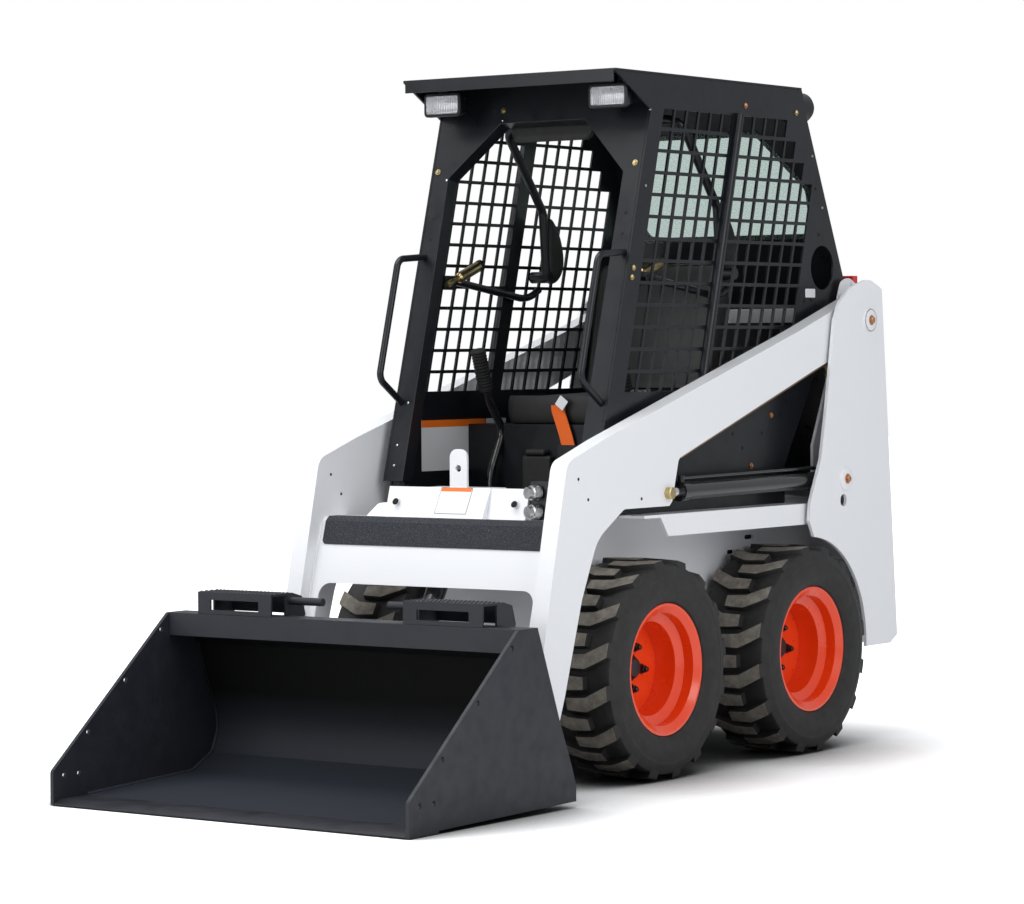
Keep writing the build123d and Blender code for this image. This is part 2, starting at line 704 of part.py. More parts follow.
def bucket_steps():
    """Two boxed steps on the bucket's top beam, each with the end of a latch rod."""
    g = face_gap
    t = step_sheet
    low = bucket_top + g
    top = bucket_top + step_height
    x0, x1 = step_span
    peak = step_ends + 27
    back_y, back_z = bucket_back[-1]
    body = block(x0, x1, beam_front, beam_front + t, low, top) + block(x0, x1, beam_front, peak, top - t, top)
    body -= block(x0 + step_frame, x1 - step_frame, beam_front - 1, beam_front + t + 1, low + 11, top - 20)
    end = flat([
        (step_ends, low), (step_ends, top - 8), (peak, top), (step_rear - 14, top - 10), (step_rear, low),
        (back_y - 4 + g, back_z + 8), (beam_rear + g, low),
    ])
    body += slab(end, x0, x0 + t) + slab(end, x1 - t, x1)
    rear = flat([
        (step_rear - 14, top - 10), (step_rear, low), (step_rear - t, low), (step_rear - 14 - t, top - 10),
    ])
    body += slab(rear, x0, x1)
    return both(body + bar(latch_rod_radius, latch_rod_end, x0 + t, (step_ends + 21, top - 20)))


def coupler():
    """Plate behind the bucket, with ears for the hinge pins and cheeks for the tilt rod."""
    g = face_gap
    t = coupler_sheet
    front = [(y + g, z) for y, z in bucket_back[2:]]
    rear = [(y + g + t, z) for y, z in bucket_back[2:]]
    plate = [*front, *reversed(rear)]
    ear_outer = arm_inner - side_gap
    body = slab(flat(plate), -ear_outer, ear_outer)
    window_low = bucket_back[4][1] - 18
    window_high = bucket_back[5][1] - 46
    body -= block(-cheek_inner, cheek_inner, bucket_back[5][0] - t, coupler_pivot[0], window_low, window_high)
    y, z = coupler_pivot
    ear = flat([
        (-606, 178), (-602, 128), (-612, 92), (y - 10, z - 34), (y + 30, z - 20), (y + 34, z + 14),
        (y + 14, z + 44), (-560, 320), (-668, 352),
    ], {4: 16, 5: 20, 7: 30})
    for x0 in (ear_outer - coupler_ear, -ear_outer):
        body += slab(ear, x0, x0 + coupler_ear)
    eye_y, eye_z = tilt_eye
    cheek = flat([
        (-606, 178), (-566, 176), (eye_y + 24, eye_z - 20), (eye_y + 16, eye_z + 28), (-664, 352),
    ], {2: 18, 3: 18})
    for x0 in (cheek_inner, -cheek_inner - cheek_sheet):
        body += slab(cheek, x0, x0 + cheek_sheet)
    return body - bar(coupler_pin_radius + pin_fit, -arm_outer, arm_outer, coupler_pivot)


# ---------------------------------------------------------------- cab
def grille_slots():
    """Slanted slots of one side wall, (y, z) corners, in columns before and behind the middle post."""
    wide, tall = grille_hole
    lean = tall * grille_lean
    slots = []
    for row in range(grille_rows):
        low = grille_bottom + row * grille_pitch[1]
        start = along(front_plane, grille_bottom) + grille_front + (low - grille_bottom) * grille_lean
        limit = along(rear_plane, low + tall) - grille_margin
        for column in range(sum(grille_columns)):
            y = start + column * grille_pitch[0]
            if column >= grille_columns[0]:
                y += post_band + wide - grille_pitch[0]
            if y + wide < limit:
                high = low + tall
                slots.append([(y, low), (y + wide, low), (y + wide + lean, high), (y + lean, high)])
    return slots


def cab_side():
    """Side wall in one sheet: grille, middle post, roof gusset and round vent."""
    outline = [
        (along(front_plane, cab_foot), cab_foot), (along(front_plane, 1716), 1716),
        (roof_front, roof_top - roof_sheet - face_gap), (roof_rear, roof_top - roof_sheet - face_gap),
        (rear_plane[0], rear_plane[1]), (along(rear_plane, cab_back), cab_back), (1028, cab_back),
        (890, 1000), (745, 780), (745, rail_top + face_gap), (-140, rail_top + face_gap), (-140, cab_foot),
    ]
    body = slab(flat(outline), cab_inside, cab_half_width)
    openings = Sketch() + [make_face(Plane.YZ * Polyline(*slot, close=True)) for slot in grille_slots()]
    body -= extrude(Pos(cab_inside - 1, 0, 0) * openings, amount=cab_sheet + 2, dir=(1, 0, 0))
    body -= bar(vent_radius, cab_inside - 1, cab_half_width + 1, vent_spot)
    foot_y = along(front_plane, grille_bottom) + grille_front + post_start
    head_y = foot_y + (post_top - grille_bottom) * post_lean
    post_x = cab_half_width + post_radius * 2 / 3
    return body + rod_between((foot_y, grille_bottom), (head_y, post_top), post_radius, post_x)


def cab_front_frame():
    """Front wall: two leaning posts and a header round the six-sided opening."""
    lean = Vector(0, front_plane[2], 1).normalized()
    normal = Vector(1, 0, 0).cross(lean)
    plane = Plane(origin=(0, front_plane[0], front_plane[1]), x_dir=(1, 0, 0), z_dir=normal)
    stretch = hypot(1, front_plane[2])
    half = cab_inside - face_gap
    top = roof_top - roof_sheet - face_gap

    def up(z):
        return (z - cab_foot) * stretch

    sheet = Polyline((-half, 0), (-half, up(top) + 20), (half, up(top) + 20), (half, 0), close=True)
    low = half - post_width
    hole = Polyline(
        (-low, -1), (-chamfer_half_width, up(chamfer_bottom)), (-opening_half_width, up(header_bottom)),
        (opening_half_width, up(header_bottom)), (chamfer_half_width, up(chamfer_bottom)), (low, -1),
        close=True,
    )
    face = make_face(plane * sheet) - make_face(plane * hole)
    body = extrude(face, amount=-post_depth, dir=plane.z_dir)
    body -= block(-half - 1, half + 1, -300, 400, cab_foot - 50, cab_foot)
    return body - block(-half - 1, half + 1, -300, 400, top, top + 100)


def cab_roof():
    half = cab_half_width
    plate = block(-half, half, roof_front, roof_rear, roof_top - roof_sheet, roof_top)
    inside = cab_inside - face_gap
    return plate + block(-inside, inside, roof_front, roof_front + 4, roof_top - roof_lip, roof_top)


def cab_rear():
    """Rear wall and its bend to the roof, with the window opening."""
    half = cab_inside - face_gap
    y, z = rear_plane[0], rear_plane[1]
    top = roof_top - roof_sheet - face_gap
    face = flat([
        (roof_rear - 30, top), (roof_rear, top), (y, z), (along(rear_plane, cab_back), cab_back),
        (along(rear_plane, cab_back) - 8, cab_back), (y - 8, z), (roof_rear - 8, top - 8),
        (roof_rear - 30, top - 8),
    ])
    body = slab(face, -half, half)
    corners = [(-285, 1540), (-270, 1420), (270, 1420), (285, 1540), (165, 1690), (-165, 1690)]
    window = make_face(Plane.XZ * Polyline(*corners, close=True))
    window = fillet(window.vertices(), 30)
    return body - extrude(Pos(0, 1300, 0) * window, amount=700, dir=(0, -1, 0))


def rear_window():
    corners = [(-300, 1540), (-288, 1405), (288, 1405), (300, 1540), (172, 1702), (-172, 1702)]
    window = make_face(Plane.XZ * Polyline(*corners, close=True))
    column = extrude(Pos(0, 1300, 0) * window, amount=700, dir=(0, -1, 0))
    inset = 8 + face_gap
    pane = slab(flat([
        (along(rear_plane, 1720) - inset, 1720), (along(rear_plane, 1390) - inset, 1390),
        (along(rear_plane, 1390) - inset - 5, 1390), (along(rear_plane, 1720) - inset - 5, 1720),
    ]), -320, 320)
    return pane & column


def cab_floor():
    """Floor pan, seat box and the front posts' rubber feet."""
    half = cab_inside - face_gap
    floor = block(-half, half, -165, 745, floor_height, floor_height + floor_sheet)
    body = floor + block(-half, half, 200, 740, floor_height, seat_box_top)
    body -= block(-half + 6, half - 6, 206, 734, floor_height - 1, seat_box_top - 6)
    foot = extrude(Circle(foot_radius), amount=foot_height - 1 - face_gap)
    foot = Pos(half - 28, -140, floor_height + 1) * foot
    return body + foot + mirrored(foot)


def seat_cushion():
    low = seat_box_top + face_gap
    return block(-seat_half_width, seat_half_width, 205, 600, low, low + 85)


def seat_back():
    low = seat_box_top + 85 + 2 * face_gap
    face = flat([(560, low), (640, low), (720, 1330), (660, 1330)], {2: 25, 3: 20})
    return slab(face, -seat_half_width + 5, seat_half_width - 5)


def grab_handle():
    """Bent tube in front of a cab post, its ends cut flush with the post."""
    x = cab_inside - 14
    spots = [(1350, -20.0), (1341, handle_reach), (1027, handle_reach), (952, -20.0)]
    points = [Vector(x, along(front_plane, z) - reach, z) for z, reach in spots]
    path = FilletPolyline(*points, radius=30)
    section = Plane(origin=points[0], z_dir=points[1] - points[0]) * Circle(handle_radius)
    tube = sweep(section, path=path)
    behind = flat([
        (along(front_plane, 800) - face_gap, 800), (along(front_plane, 1500) - face_gap, 1500),
        (400, 1500), (400, 800),
    ])
    return tube - slab(behind, 0, 2 * cab_half_width)


def steering_lever():
    low = floor_height + floor_sheet + face_gap
    body = block(205, 245, 110, 150, low, low + 20)
    body += rod_between((130, low + 10), (104, 1040), 10, 225)
    return body + rod_between((105, 1010), (98, 1130), 17, 225)


def seat_bar():
    """Overhead safety bar: bent tube with an arm rest, turning on pins in the side walls."""
    x = cab_inside - seat_bar_inset
    y, z = seat_bar_pivot
    half_side = [Vector(x, y, z), Vector(x, y - 14, z + 179), Vector(x, y - 193, z + 406)]
    points = [*half_side, *(Vector(-p.X, p.Y, p.Z) for p in reversed(half_side))]
    path = FilletPolyline(*points, radius=45)
    section = Plane(origin=points[0], z_dir=points[1] - points[0]) * Circle(seat_bar_radius)
    body = sweep(section, path=path)
    for x0, x1 in ((x - 16, cab_inside - face_gap), (-cab_inside + face_gap, 16 - x)):
        body += bar(seat_bar_radius + 4, x0, x1, seat_bar_pivot)
    return body


def head_pad():
    """Pad against the inside of the header, over the operator's way in."""
    low = header_bottom - head_pad_drop
    high = low + head_pad_height
    near = post_depth * hypot(1, front_plane[2]) + face_gap
    far = near + head_pad_depth
    face = flat([
        (along(front_plane, low) + near, low), (along(front_plane, high) + near, high),
        (along(front_plane, high) + far, high), (along(front_plane, low) + far, low),
    ], {2: 8, 3: 12})
    return slab(face, -head_pad_half_width, head_pad_half_width)


def work_lamps():
    """Two square front lamps under the roof and two round ones at its rear corners."""
    under_roof = roof_top - roof_sheet - face_gap
    x0, x1 = lamp_span
    top = roof_top - lamp_drop
    centre = Pos((x0 + x1) / 2, lamp_face + lamp_rim, top - lamp_height / 2)
    outline = Plane.XZ * RectangleRounded(x1 - x0, lamp_height, lamp_round)
    front = centre * extrude(outline, amount=lamp_rim, dir=(0, -1, 0))
    front += centre * extrude(outline, amount=lamp_depth - lamp_rim, dir=(0, 1, 0), taper=18)
    front += block(x0 + 45, x1 - 45, lamp_face + 4, lamp_face + lamp_rim, top - 1, under_roof)
    z = roof_top - rear_lamp_drop
    rear_y = along(rear_plane, z)
    rear = Rot(90, 0, 0) * Cylinder(rear_lamp_radius, rear_lamp_reach)
    rear = Pos(rear_lamp_x, rear_y + rear_lamp_reach / 2, z) * rear
    rear = chamfer(rear.edges().sort_by(Axis.Y)[-1], 14)
    corner_y, corner_z = rear_plane[:2]
    wall = flat([
        (roof_rear + face_gap, roof_top), (corner_y + face_gap, corner_z),
        (along(rear_plane, corner_z - 90) + face_gap, corner_z - 90), (corner_y - 200, corner_z - 90),
        (corner_y - 200, roof_top),
    ])
    return both(front, rear - slab(wall, 0, 400))


def tail_lamps():
    """Red lamps on stalks above the tail frame."""
    low = tail_top + face_gap
    body = block(300, 345, 1108, 1135, 1262, 1302) + block(312, 332, 1108, 1114, low, 1263)
    return both(body)


# ---------------------------------------------------------------- assembly
def build():
    """All nodes as name: shape, in machine coordinates."""
    nodes = {
        "chassis_tub": chassis_tub(),
        "fender_rails": both(fender_rail()),
        "chassis_pins": chassis_pins(),
        "tail_frame": tail_frame(),
        "rear_door": rear_door(),
        "engine_block": engine_block(),
        "arm_pins": arm_pins(),
        "cross_member": cross_member(),
        "step_tread": step_tread(),
        "bucket_shell": bucket_shell(),
        "bucket_sides": bucket_sides(),
        "cutting_edge": cutting_edge(),
        "bucket_steps": bucket_steps(),
        "coupler": coupler(),
        "cab_front_frame": cab_front_frame(),
        "cab_roof": cab_roof(),
        "cab_rear": cab_rear(),
        "rear_window": rear_window(),
        "cab_floor": cab_floor(),
        "seat_cushion": seat_cushion(),
        "seat_back": seat_back(),
        "seat_bar": seat_bar(),
        "head_pad": head_pad(),
        "grab_handles": both(grab_handle()),
        "steering_levers": both(steering_lever()),
        "work_lamps": work_lamps(),
        "tail_lamps": tail_lamps(),
    }
    paired = {"upright": upright(), "lift_arm": lift_arm(), "cab_side": cab_side()}
    for end, at_y in (("front", 0.0), ("rear", wheelbase)):
        paired["wheel_" + end] = wheel(at_y)
        paired["tyre_" + end] = tyre(at_y)
    paired["lift_barrel"], paired["lift_rod"] = cylinder(
        lift_base, lift_eye, lift_barrel_radius, lift_rod_radius, lift_rod_show, lift_rod_start,
        0.0, lift_eye_width, lift_x, piped=True,
    )
    for name, shape in paired.items():
        nodes[name + "_left"] = shape
        nodes[name + "_right"] = mirrored(shape)
    nodes["tilt_barrel"], nodes["tilt_rod"] = cylinder(
        tilt_base, tilt_eye, tilt_barrel_radius, tilt_rod_radius, tilt_rod_show, tilt_rod_start,
        1000 * tilt_rod_ratio * radians(tilt_back), tilt_eye_width, 0.0,
    )
    return nodes


shift_y = -(bucket_front + rear_end) / 2


def main():
    os.makedirs("parts", exist_ok=True)
    for name, shape in build().items():
        export_step(Pos(0, shift_y, 0) * shape, f"parts/{name}.step")


if __name__ == "__main__":
    main()
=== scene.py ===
from math import cos, pi, radians, sin

import bmesh
import bpy
from mathutils import Matrix, Vector


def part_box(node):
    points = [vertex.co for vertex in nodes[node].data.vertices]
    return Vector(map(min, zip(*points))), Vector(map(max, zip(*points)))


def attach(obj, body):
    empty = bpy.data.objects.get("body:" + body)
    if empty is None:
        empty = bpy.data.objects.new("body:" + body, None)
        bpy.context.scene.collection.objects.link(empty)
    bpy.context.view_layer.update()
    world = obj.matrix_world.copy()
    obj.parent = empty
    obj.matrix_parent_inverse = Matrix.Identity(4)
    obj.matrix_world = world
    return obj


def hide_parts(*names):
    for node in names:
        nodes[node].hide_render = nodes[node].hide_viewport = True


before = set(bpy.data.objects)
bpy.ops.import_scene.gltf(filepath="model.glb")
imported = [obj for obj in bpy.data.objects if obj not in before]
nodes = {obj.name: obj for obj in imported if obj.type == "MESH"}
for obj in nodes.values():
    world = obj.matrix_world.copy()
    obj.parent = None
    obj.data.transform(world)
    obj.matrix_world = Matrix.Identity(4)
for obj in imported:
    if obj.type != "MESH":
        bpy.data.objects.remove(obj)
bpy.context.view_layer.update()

# Small skid steer loader. Places are millimetres from the ground point under the front
# axle, +Y to the rear and +X to the machine's left, and at() turns them into the frame.
MM = 0.001


def middle(node):
    """Centre of a node's box, in metres."""
    low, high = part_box(node)
    return (low + high) / 2


FRONT_AXLE_Y = middle("tyre_front_left").y
AXLES = {"front": 0.0, "rear": (middle("tyre_rear_left").y - FRONT_AXLE_Y) / MM}
AXLE_Z = middle("tyre_front_left").z / MM
TYRE_RADIUS = AXLE_Z
TYRE_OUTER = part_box("tyre_front_left")[1].x / MM
TYRE_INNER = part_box("tyre_front_left")[0].x / MM
UPRIGHT_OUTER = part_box("upright_left")[1].x / MM
ARM_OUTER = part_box("fender_rails")[1].x / MM + 2
ARM_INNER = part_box("lift_arm_left")[0].x / MM + 5
CAB_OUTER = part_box("cab_roof")[1].x / MM
CAB_INSIDE = CAB_OUTER - 6
ROOF_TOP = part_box("cab_roof")[1].z / MM
BUCKET_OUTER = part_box("bucket_sides")[1].x / MM
DISC_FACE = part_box("wheel_front_left")[1].x / MM - 115     # x of the wheel disc's outer face
LAMP_FACE = (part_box("work_lamps")[0].y - FRONT_AXLE_Y) / MM
FRONT_LEAN = 0.274             # the cab's front wall leans back by this much per mm of height
FRONT_FOOT = (-172.0, 757.0)   # y and z of its foot
PANEL_LEAN = 0.29              # the arms' cross-member leans back too
PANEL_FOOT = (-440.0, 505.0)   # y and z of its foot
REAR_LEAN = -0.4476            # the cab's rear wall leans forward
REAR_SPOT = (873.0, 1726.0)    # y and z of a point on it
LIFT_EYE = (45, 731)           # y and z of the lift cylinder's bolt in the arm
SIDES = (("left", 1), ("right", -1))


def at(x, y, z):
    """Frame point of a place in millimetres."""
    return Vector((x * MM, y * MM + FRONT_AXLE_Y, z * MM))


def cab_front(z):
    """y of the cab's front wall at height z."""
    return FRONT_FOOT[0] + (z - FRONT_FOOT[1]) * FRONT_LEAN


def cab_rear(z):
    """y of the cab's rear wall at height z."""
    return REAR_SPOT[0] + (z - REAR_SPOT[1]) * REAR_LEAN


def panel_front(z):
    """y of the cross-member's front at height z."""
    return PANEL_FOOT[0] + (z - PANEL_FOOT[1]) * PANEL_LEAN


# ---------------------------------------------------------------- materials
class Shader:
    """A node material, with short calls for what the materials below share."""

    def __init__(self, name, color, roughness, metallic=0.0, **sockets):
        self.material = bpy.data.materials.new(name)
        self.material.use_nodes = True
        self.tree = self.material.node_tree
        self.bsdf = self.tree.nodes["Principled BSDF"]
        self.bsdf.inputs["Base Color"].default_value = (*color, 1)
        self.bsdf.inputs["Roughness"].default_value = roughness
        self.bsdf.inputs["Metallic"].default_value = metallic
        for socket, value in sockets.items():
            title = socket.replace("_", " ").title().replace("Ior", "IOR")
            self.bsdf.inputs[title].default_value = value
        self.place = self.tree.nodes.new("ShaderNodeTexCoord").outputs["Object"]

    def add(self, kind, *links, **values):
        node = self.tree.nodes.new("ShaderNode" + kind)
        for name, value in values.items():
            setattr(node, name, value)
        for socket, source in links:
            if isinstance(source, (int, float, tuple)):
                node.inputs[socket].default_value = source
            else:
                self.tree.links.new(source, node.inputs[socket])
        return node

    def noise(self, scale, detail=4.0, rough=0.55):
        return self.add(
            "TexNoise", ("Vector", self.place), ("Scale", scale), ("Detail", detail), ("Roughness", rough)
        ).outputs["Fac"]

    def ramp(self, source, *stops):
        """Stops are (place, grey or colour)."""
        node = self.add("ValToRGB", ("Fac", source))
        band = node.color_ramp
        for index, (spot, value) in enumerate(stops):
            entry = band.elements[index] if index < 2 else band.elements.new(spot)
            entry.position = spot
            color = value if isinstance(value, tuple) else (value,) * 3
            entry.color = (*color, 1)
        return node.outputs["Color"]

    def mix(self, factor, one, other):
        node = self.add("Mix", data_type="RGBA")
        for index, source in ((0, factor), (6, one), (7, other)):
            if isinstance(source, tuple):
                node.inputs[index].default_value = (*source, 1)
            elif isinstance(source, float):
                node.inputs[index].default_value = source
            else:
                self.tree.links.new(source, node.inputs[index])
        return node.outputs[2]

    def use(self, socket, source):
        self.tree.links.new(source, self.bsdf.inputs[socket])
        return self

    def bump(self, height, strength, distance):
        node = self.add("Bump", ("Height", height), ("Strength", strength), ("Distance", distance))
        return self.use("Normal", node.outputs["Normal"])


def paint(name, color, dusty, roughness, grain, coat=0.0, dust=0.35, uneven=0.25, shine=0.5):
    """Sprayed paint: cloudy tint, roughness that varies, and a fine orange-peel grain."""
    s = Shader(name, color, roughness, coat_weight=coat, coat_roughness=0.12, specular_ior_level=shine)
    clouds = s.ramp(s.noise(5.0, 6.0, 0.62), (0.42, 0.0), (0.78, dust))
    s.use("Base Color", s.mix(clouds, color, dusty))
    dull, shiny = min(1.0, roughness * (1 + uneven)), roughness * (1 - uneven)
    s.use("Roughness", s.ramp(s.noise(22.0, 5.0), (0.3, shiny), (0.75, dull)))
    return s.bump(s.noise(900.0, 2.0), grain, 0.0004).material


def rubber(name, color, worn, roughness, share):
    """Dull rubber or vinyl with lighter scuffs, sharper at their edges when share is small."""
    s = Shader(name, color, roughness, specular_ior_level=0.35)
    spots = s.ramp(s.noise(34.0, 8.0, 0.7), (0.5 - share / 2, 0.0), (0.5 + share / 2, 1.0))
    s.use("Base Color", s.mix(spots, color, worn))
    return s.bump(s.noise(420.0, 4.0), 0.35, 0.0006).material


def metal(name, color, roughness, grain=0.1):
    s = Shader(name, color, roughness, metallic=1.0)
    s.use("Roughness", s.ramp(s.noise(60.0, 6.0), (0.3, roughness * 0.7), (0.75, roughness * 1.4)))
    return s.bump(s.noise(700.0, 3.0), grain, 0.0003).material


def grit():
    """Anti-slip tape: dark grains with a few bright ones."""
    s = Shader("anti_slip", (0.03, 0.032, 0.037), 0.95, specular_ior_level=0.3)
    grains = s.noise(520.0, 3.0, 0.8)
    dark, grey, spark = (0.018, 0.020, 0.025), (0.060, 0.064, 0.075), (0.30, 0.31, 0.33)
    s.use("Base Color", s.ramp(grains, (0.42, dark), (0.62, grey), (0.74, spark)))
    return s.bump(s.noise(620.0, 3.0), 0.9, 0.0014).material


def glass():
    """Greenish window, hazed by dust."""
    s = Shader("window_glass", (0.50, 0.61, 0.57), 0.12, transmission_weight=0.92)
    s.bsdf.inputs["IOR"].default_value = 1.25
    s.use("Roughness", s.ramp(s.noise(380.0, 2.0), (0.4, 0.10), (0.7, 0.34)))
    return s.bump(s.noise(500.0, 2.0), 0.15, 0.0004).material


def lens():
    s = Shader("lamp_lens", (0.93, 0.94, 0.96), 0.08, transmission_weight=0.75)
    ribs = s.add("TexWave", ("Vector", s.place), ("Scale", 55.0), bands_direction="X")
    return s.bump(ribs.outputs["Fac"], 0.5, 0.002).material


def painted_shade_inside():
    """The bucket's paint inside: plain along the floor and low on its back, then painted shade to near black
    higher up its back.
    """
    s = Shader("bucket_interior_painted_shade", (0.02, 0.022, 0.027), 0.55, specular_ior_level=0.2)
    height = s.add("SeparateXYZ", ("Vector", s.place)).outputs["Z"]
    low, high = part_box("bucket_shell")
    share = s.add("MapRange", ("Value", height), ("From Min", low.z), ("From Max", high.z)).outputs["Result"]
    # floor and wall are the plain paint; top is painted shade, near black high on the back
    floor, wall, top = (0.025, 0.029, 0.038), (0.026, 0.029, 0.037), (0.0010, 0.0011, 0.0014)
    s.use("Base Color", s.ramp(share, (0.05, floor), (0.22, wall), (0.52, top)))
    return s.bump(s.noise(900.0, 2.0), 0.30, 0.0004).material


WHITE = paint(
    "white_paint", (0.83, 0.84, 0.865), (0.79, 0.80, 0.82), 0.34, 0.03, coat=0.35, dust=0.1, uneven=0.04
)
BLACK = paint("cab_paint", (0.0060, 0.0073, 0.0100), (0.015, 0.017, 0.020), 0.36, 0.10, coat=0.12, shine=0.32)
BUCKET = paint(
    "bucket_paint", (0.0160, 0.0175, 0.0235), (0.033, 0.035, 0.043), 0.48, 0.30, dust=0.3, shine=0.4
)
# Inside of the bucket, with painted shade high on its back
BUCKET_SHADED_INTERIOR = painted_shade_inside()
ORANGE = paint("wheel_paint", (0.87, 0.056, 0.0025), (0.74, 0.046, 0.004), 0.32, 0.03, coat=0.6, dust=0.15)
GLOSS_BLACK = paint("cylinder_paint", (0.008, 0.008, 0.009), (0.02, 0.02, 0.02), 0.22, 0.06, coat=0.5)
TYRE = rubber("tyre_rubber", (0.0130, 0.0130, 0.0138), (0.030, 0.029, 0.028), 0.60, 0.5)
TREAD = rubber("tread_worn", (0.110, 0.100, 0.087), (0.27, 0.245, 0.21), 0.9, 0.35)
RUBBER = rubber("soft_rubber", (0.010, 0.010, 0.011), (0.022, 0.022, 0.022), 0.6, 0.5)
VINYL = rubber("seat_vinyl", (0.012, 0.012, 0.013), (0.022, 0.022, 0.023), 0.48, 0.6)
GRIT = grit()
CHROME = metal("rod_chrome", (0.72, 0.73, 0.75), 0.10, 0.02)
ZINC = metal("yellow_zinc", (0.56, 0.44, 0.22), 0.30)
OLIVE = metal("olive_zinc", (0.26, 0.25, 0.15), 0.35)
COPPER = metal("copper_zinc", (0.60, 0.30, 0.16), 0.35)
PIPE = metal("brown_pipe", (0.32, 0.20, 0.11), 0.40)
STEEL = metal("bare_steel", (0.52, 0.52, 0.51), 0.28)
DARK_STEEL = metal("dark_steel", (0.06, 0.06, 0.065), 0.35)
IRON = metal("engine_iron", (0.05, 0.05, 0.052), 0.6)
GLASS = glass()
LENS = lens()
MIRROR = metal("lamp_mirror", (0.86, 0.87, 0.89), 0.10, 0.0)
LABEL = paint("label_white", (0.74, 0.75, 0.77), (0.66, 0.67, 0.69), 0.45, 0.02, dust=0.2)
LABEL_ORANGE = paint("label_orange", (0.86, 0.17, 0.012), (0.75, 0.14, 0.012), 0.45, 0.02, dust=0.2)
BELT = paint("belt_orange", (0.86, 0.14, 0.008), (0.72, 0.11, 0.008), 0.75, 0.9, dust=0.2)
RED = paint("red_plastic", (0.62, 0.010, 0.008), (0.48, 0.01, 0.008), 0.25, 0.03, coat=0.4, dust=0.2)
# Painted shade: near black for the shade inside holes, drawn as flat discs; the labels' dark edges use it too
PAINTED_HOLE_SHADE = Shader("hole_painted_shade", (0.004, 0.004, 0.004), 0.9).material


# ---------------------------------------------------------------- making pieces
def finish_mesh(obj, smooth, bevel=0.0, segments=2):
    """Smooth shading, with sharp edges kept or rounded by a small bevel."""
    for polygon in obj.data.polygons:
        polygon.use_smooth = True
    if bevel:
        rounding = obj.modifiers.new("rounding", "BEVEL")
        rounding.width = bevel * MM
        rounding.segments = segments
        rounding.limit_method = "ANGLE"
        rounding.angle_limit = radians(smooth)
        rounding.harden_normals = True
    else:
        obj.data.set_sharp_from_angle(angle=radians(smooth))


def piece(name, bm, materials, body, smooth=35, bevel=0.0, segments=2):
    """Turns the bmesh into a piece that rides on body. materials is one, or a list."""
    bmesh.ops.recalc_face_normals(bm, faces=bm.faces)
    mesh = bpy.data.meshes.new(name)
    bm.to_mesh(mesh)
    bm.free()
    obj = bpy.data.objects.new(name, mesh)
    bpy.context.scene.collection.objects.link(obj)
    for material in materials if isinstance(materials, list) else [materials]:
        mesh.materials.append(material)
    finish_mesh(obj, smooth, bevel, segments)
    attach(obj, body)
    return obj


def loop_faces(bm, rings, closed_ring=True, material=0):
    """Skin between successive rings of vertices."""
    faces = []
    for one, other in zip(rings, rings[1:]):
        count = len(one)
        for k in range(count if closed_ring else count - 1):
            faces.append(bm.faces.new((one[k], one[(k + 1) % count], other[(k + 1) % count], other[k])))
            faces[-1].material_index = material
    return faces


def add_ring(bm, centre, side, up, radius, sides):
    """Circle of vertices in the plane of two unit vectors, its radius in millimetres."""
    turns = [2 * pi * k / sides for k in range(sides)]
    return [bm.verts.new(centre + (side * cos(turn) + up * sin(turn)) * radius * MM) for turn in turns]


def add_skin(bm, rings, material=0):
    """Closed skin through rings of vertices, with a face over each end."""
    loop_faces(bm, rings, material=material)
    for ring in (rings[0], list(reversed(rings[-1]))):
        bm.faces.new(ring).material_index = material


def add_box(bm, low, high, material=0):
    """Box between two corners given in millimetres."""
    low, high = at(*low), at(*high)
    size = high - low
    spot = Matrix.Translation((low + high) / 2) @ Matrix.Diagonal((*size, 1))
    made = bmesh.ops.create_cube(bm, size=1.0, matrix=spot)
    for face in {f for v in made["verts"] for f in v.link_faces}:
        face.material_index = material


def add_prism(bm, outline, way, material=0):
    """Closed outline of frame points, thickened by the vector way in millimetres."""
    near = [bm.verts.new(p) for p in outline]
    far = [bm.verts.new(p + Vector(way) * MM) for p in outline]
    faces = loop_faces(bm, [near, far], material=material)
    faces += [bm.faces.new(near), bm.faces.new(list(reversed(far)))]
    for face in faces:
        face.material_index = material


def basis(axis):
    """Two unit vectors across an axis."""
    axis = axis.normalized()
    side = axis.cross(Vector((0, 0, 1)) if abs(axis.z) < 0.9 else Vector((0, 1, 0))).normalized()
    return side, axis.cross(side)


def add_turned(bm, start, axis, profile, sides=32, material=0):
    """Solid turned about the line from start along axis: profile is (distance, radius) pairs."""
    axis = Vector(axis).normalized()
    side, up = basis(axis)
    rings = [add_ring(bm, start + axis * along * MM, side, up, radius, sides) for along, radius in profile]
    add_skin(bm, rings, material)


def add_rod(bm, start, end, radius, sides):
    way = end - start
    add_turned(bm, start, way, [(0, radius), (way.length / MM, radius)], sides)


def add_bolt(bm, spot, axis, material=0):
    """Hexagon head, 10 mm over its flats, with a washer and a rounded top."""
    axis = Vector(axis).normalized()
    base = spot - axis * 0.5 * MM
    add_turned(bm, base, axis, [(0, 7.8), (2.5, 7.8)], 24, material)
    add_turned(bm, base, axis, [(0, 5.77), (4, 5.77), (6, 4.6)], 6, material)


def rounded_path(points, radius):
    """Millimetre points to frame points, with an arc of about radius at each corner."""
    spots = [at(*p) for p in points]
    path = [spots[0]]
    for before, corner, after in zip(spots, spots[1:], spots[2:]):
        one, two = (before - corner), (after - corner)
        cut = min(radius * MM, one.length * 0.45, two.length * 0.45)
        start, end = corner + one.normalized() * cut, corner + two.normalized() * cut
        for k in range(9):
            t = k / 8
            path.append(start * (1 - t) ** 2 + corner * 2 * t * (1 - t) + end * t ** 2)
    return path + [spots[-1]]


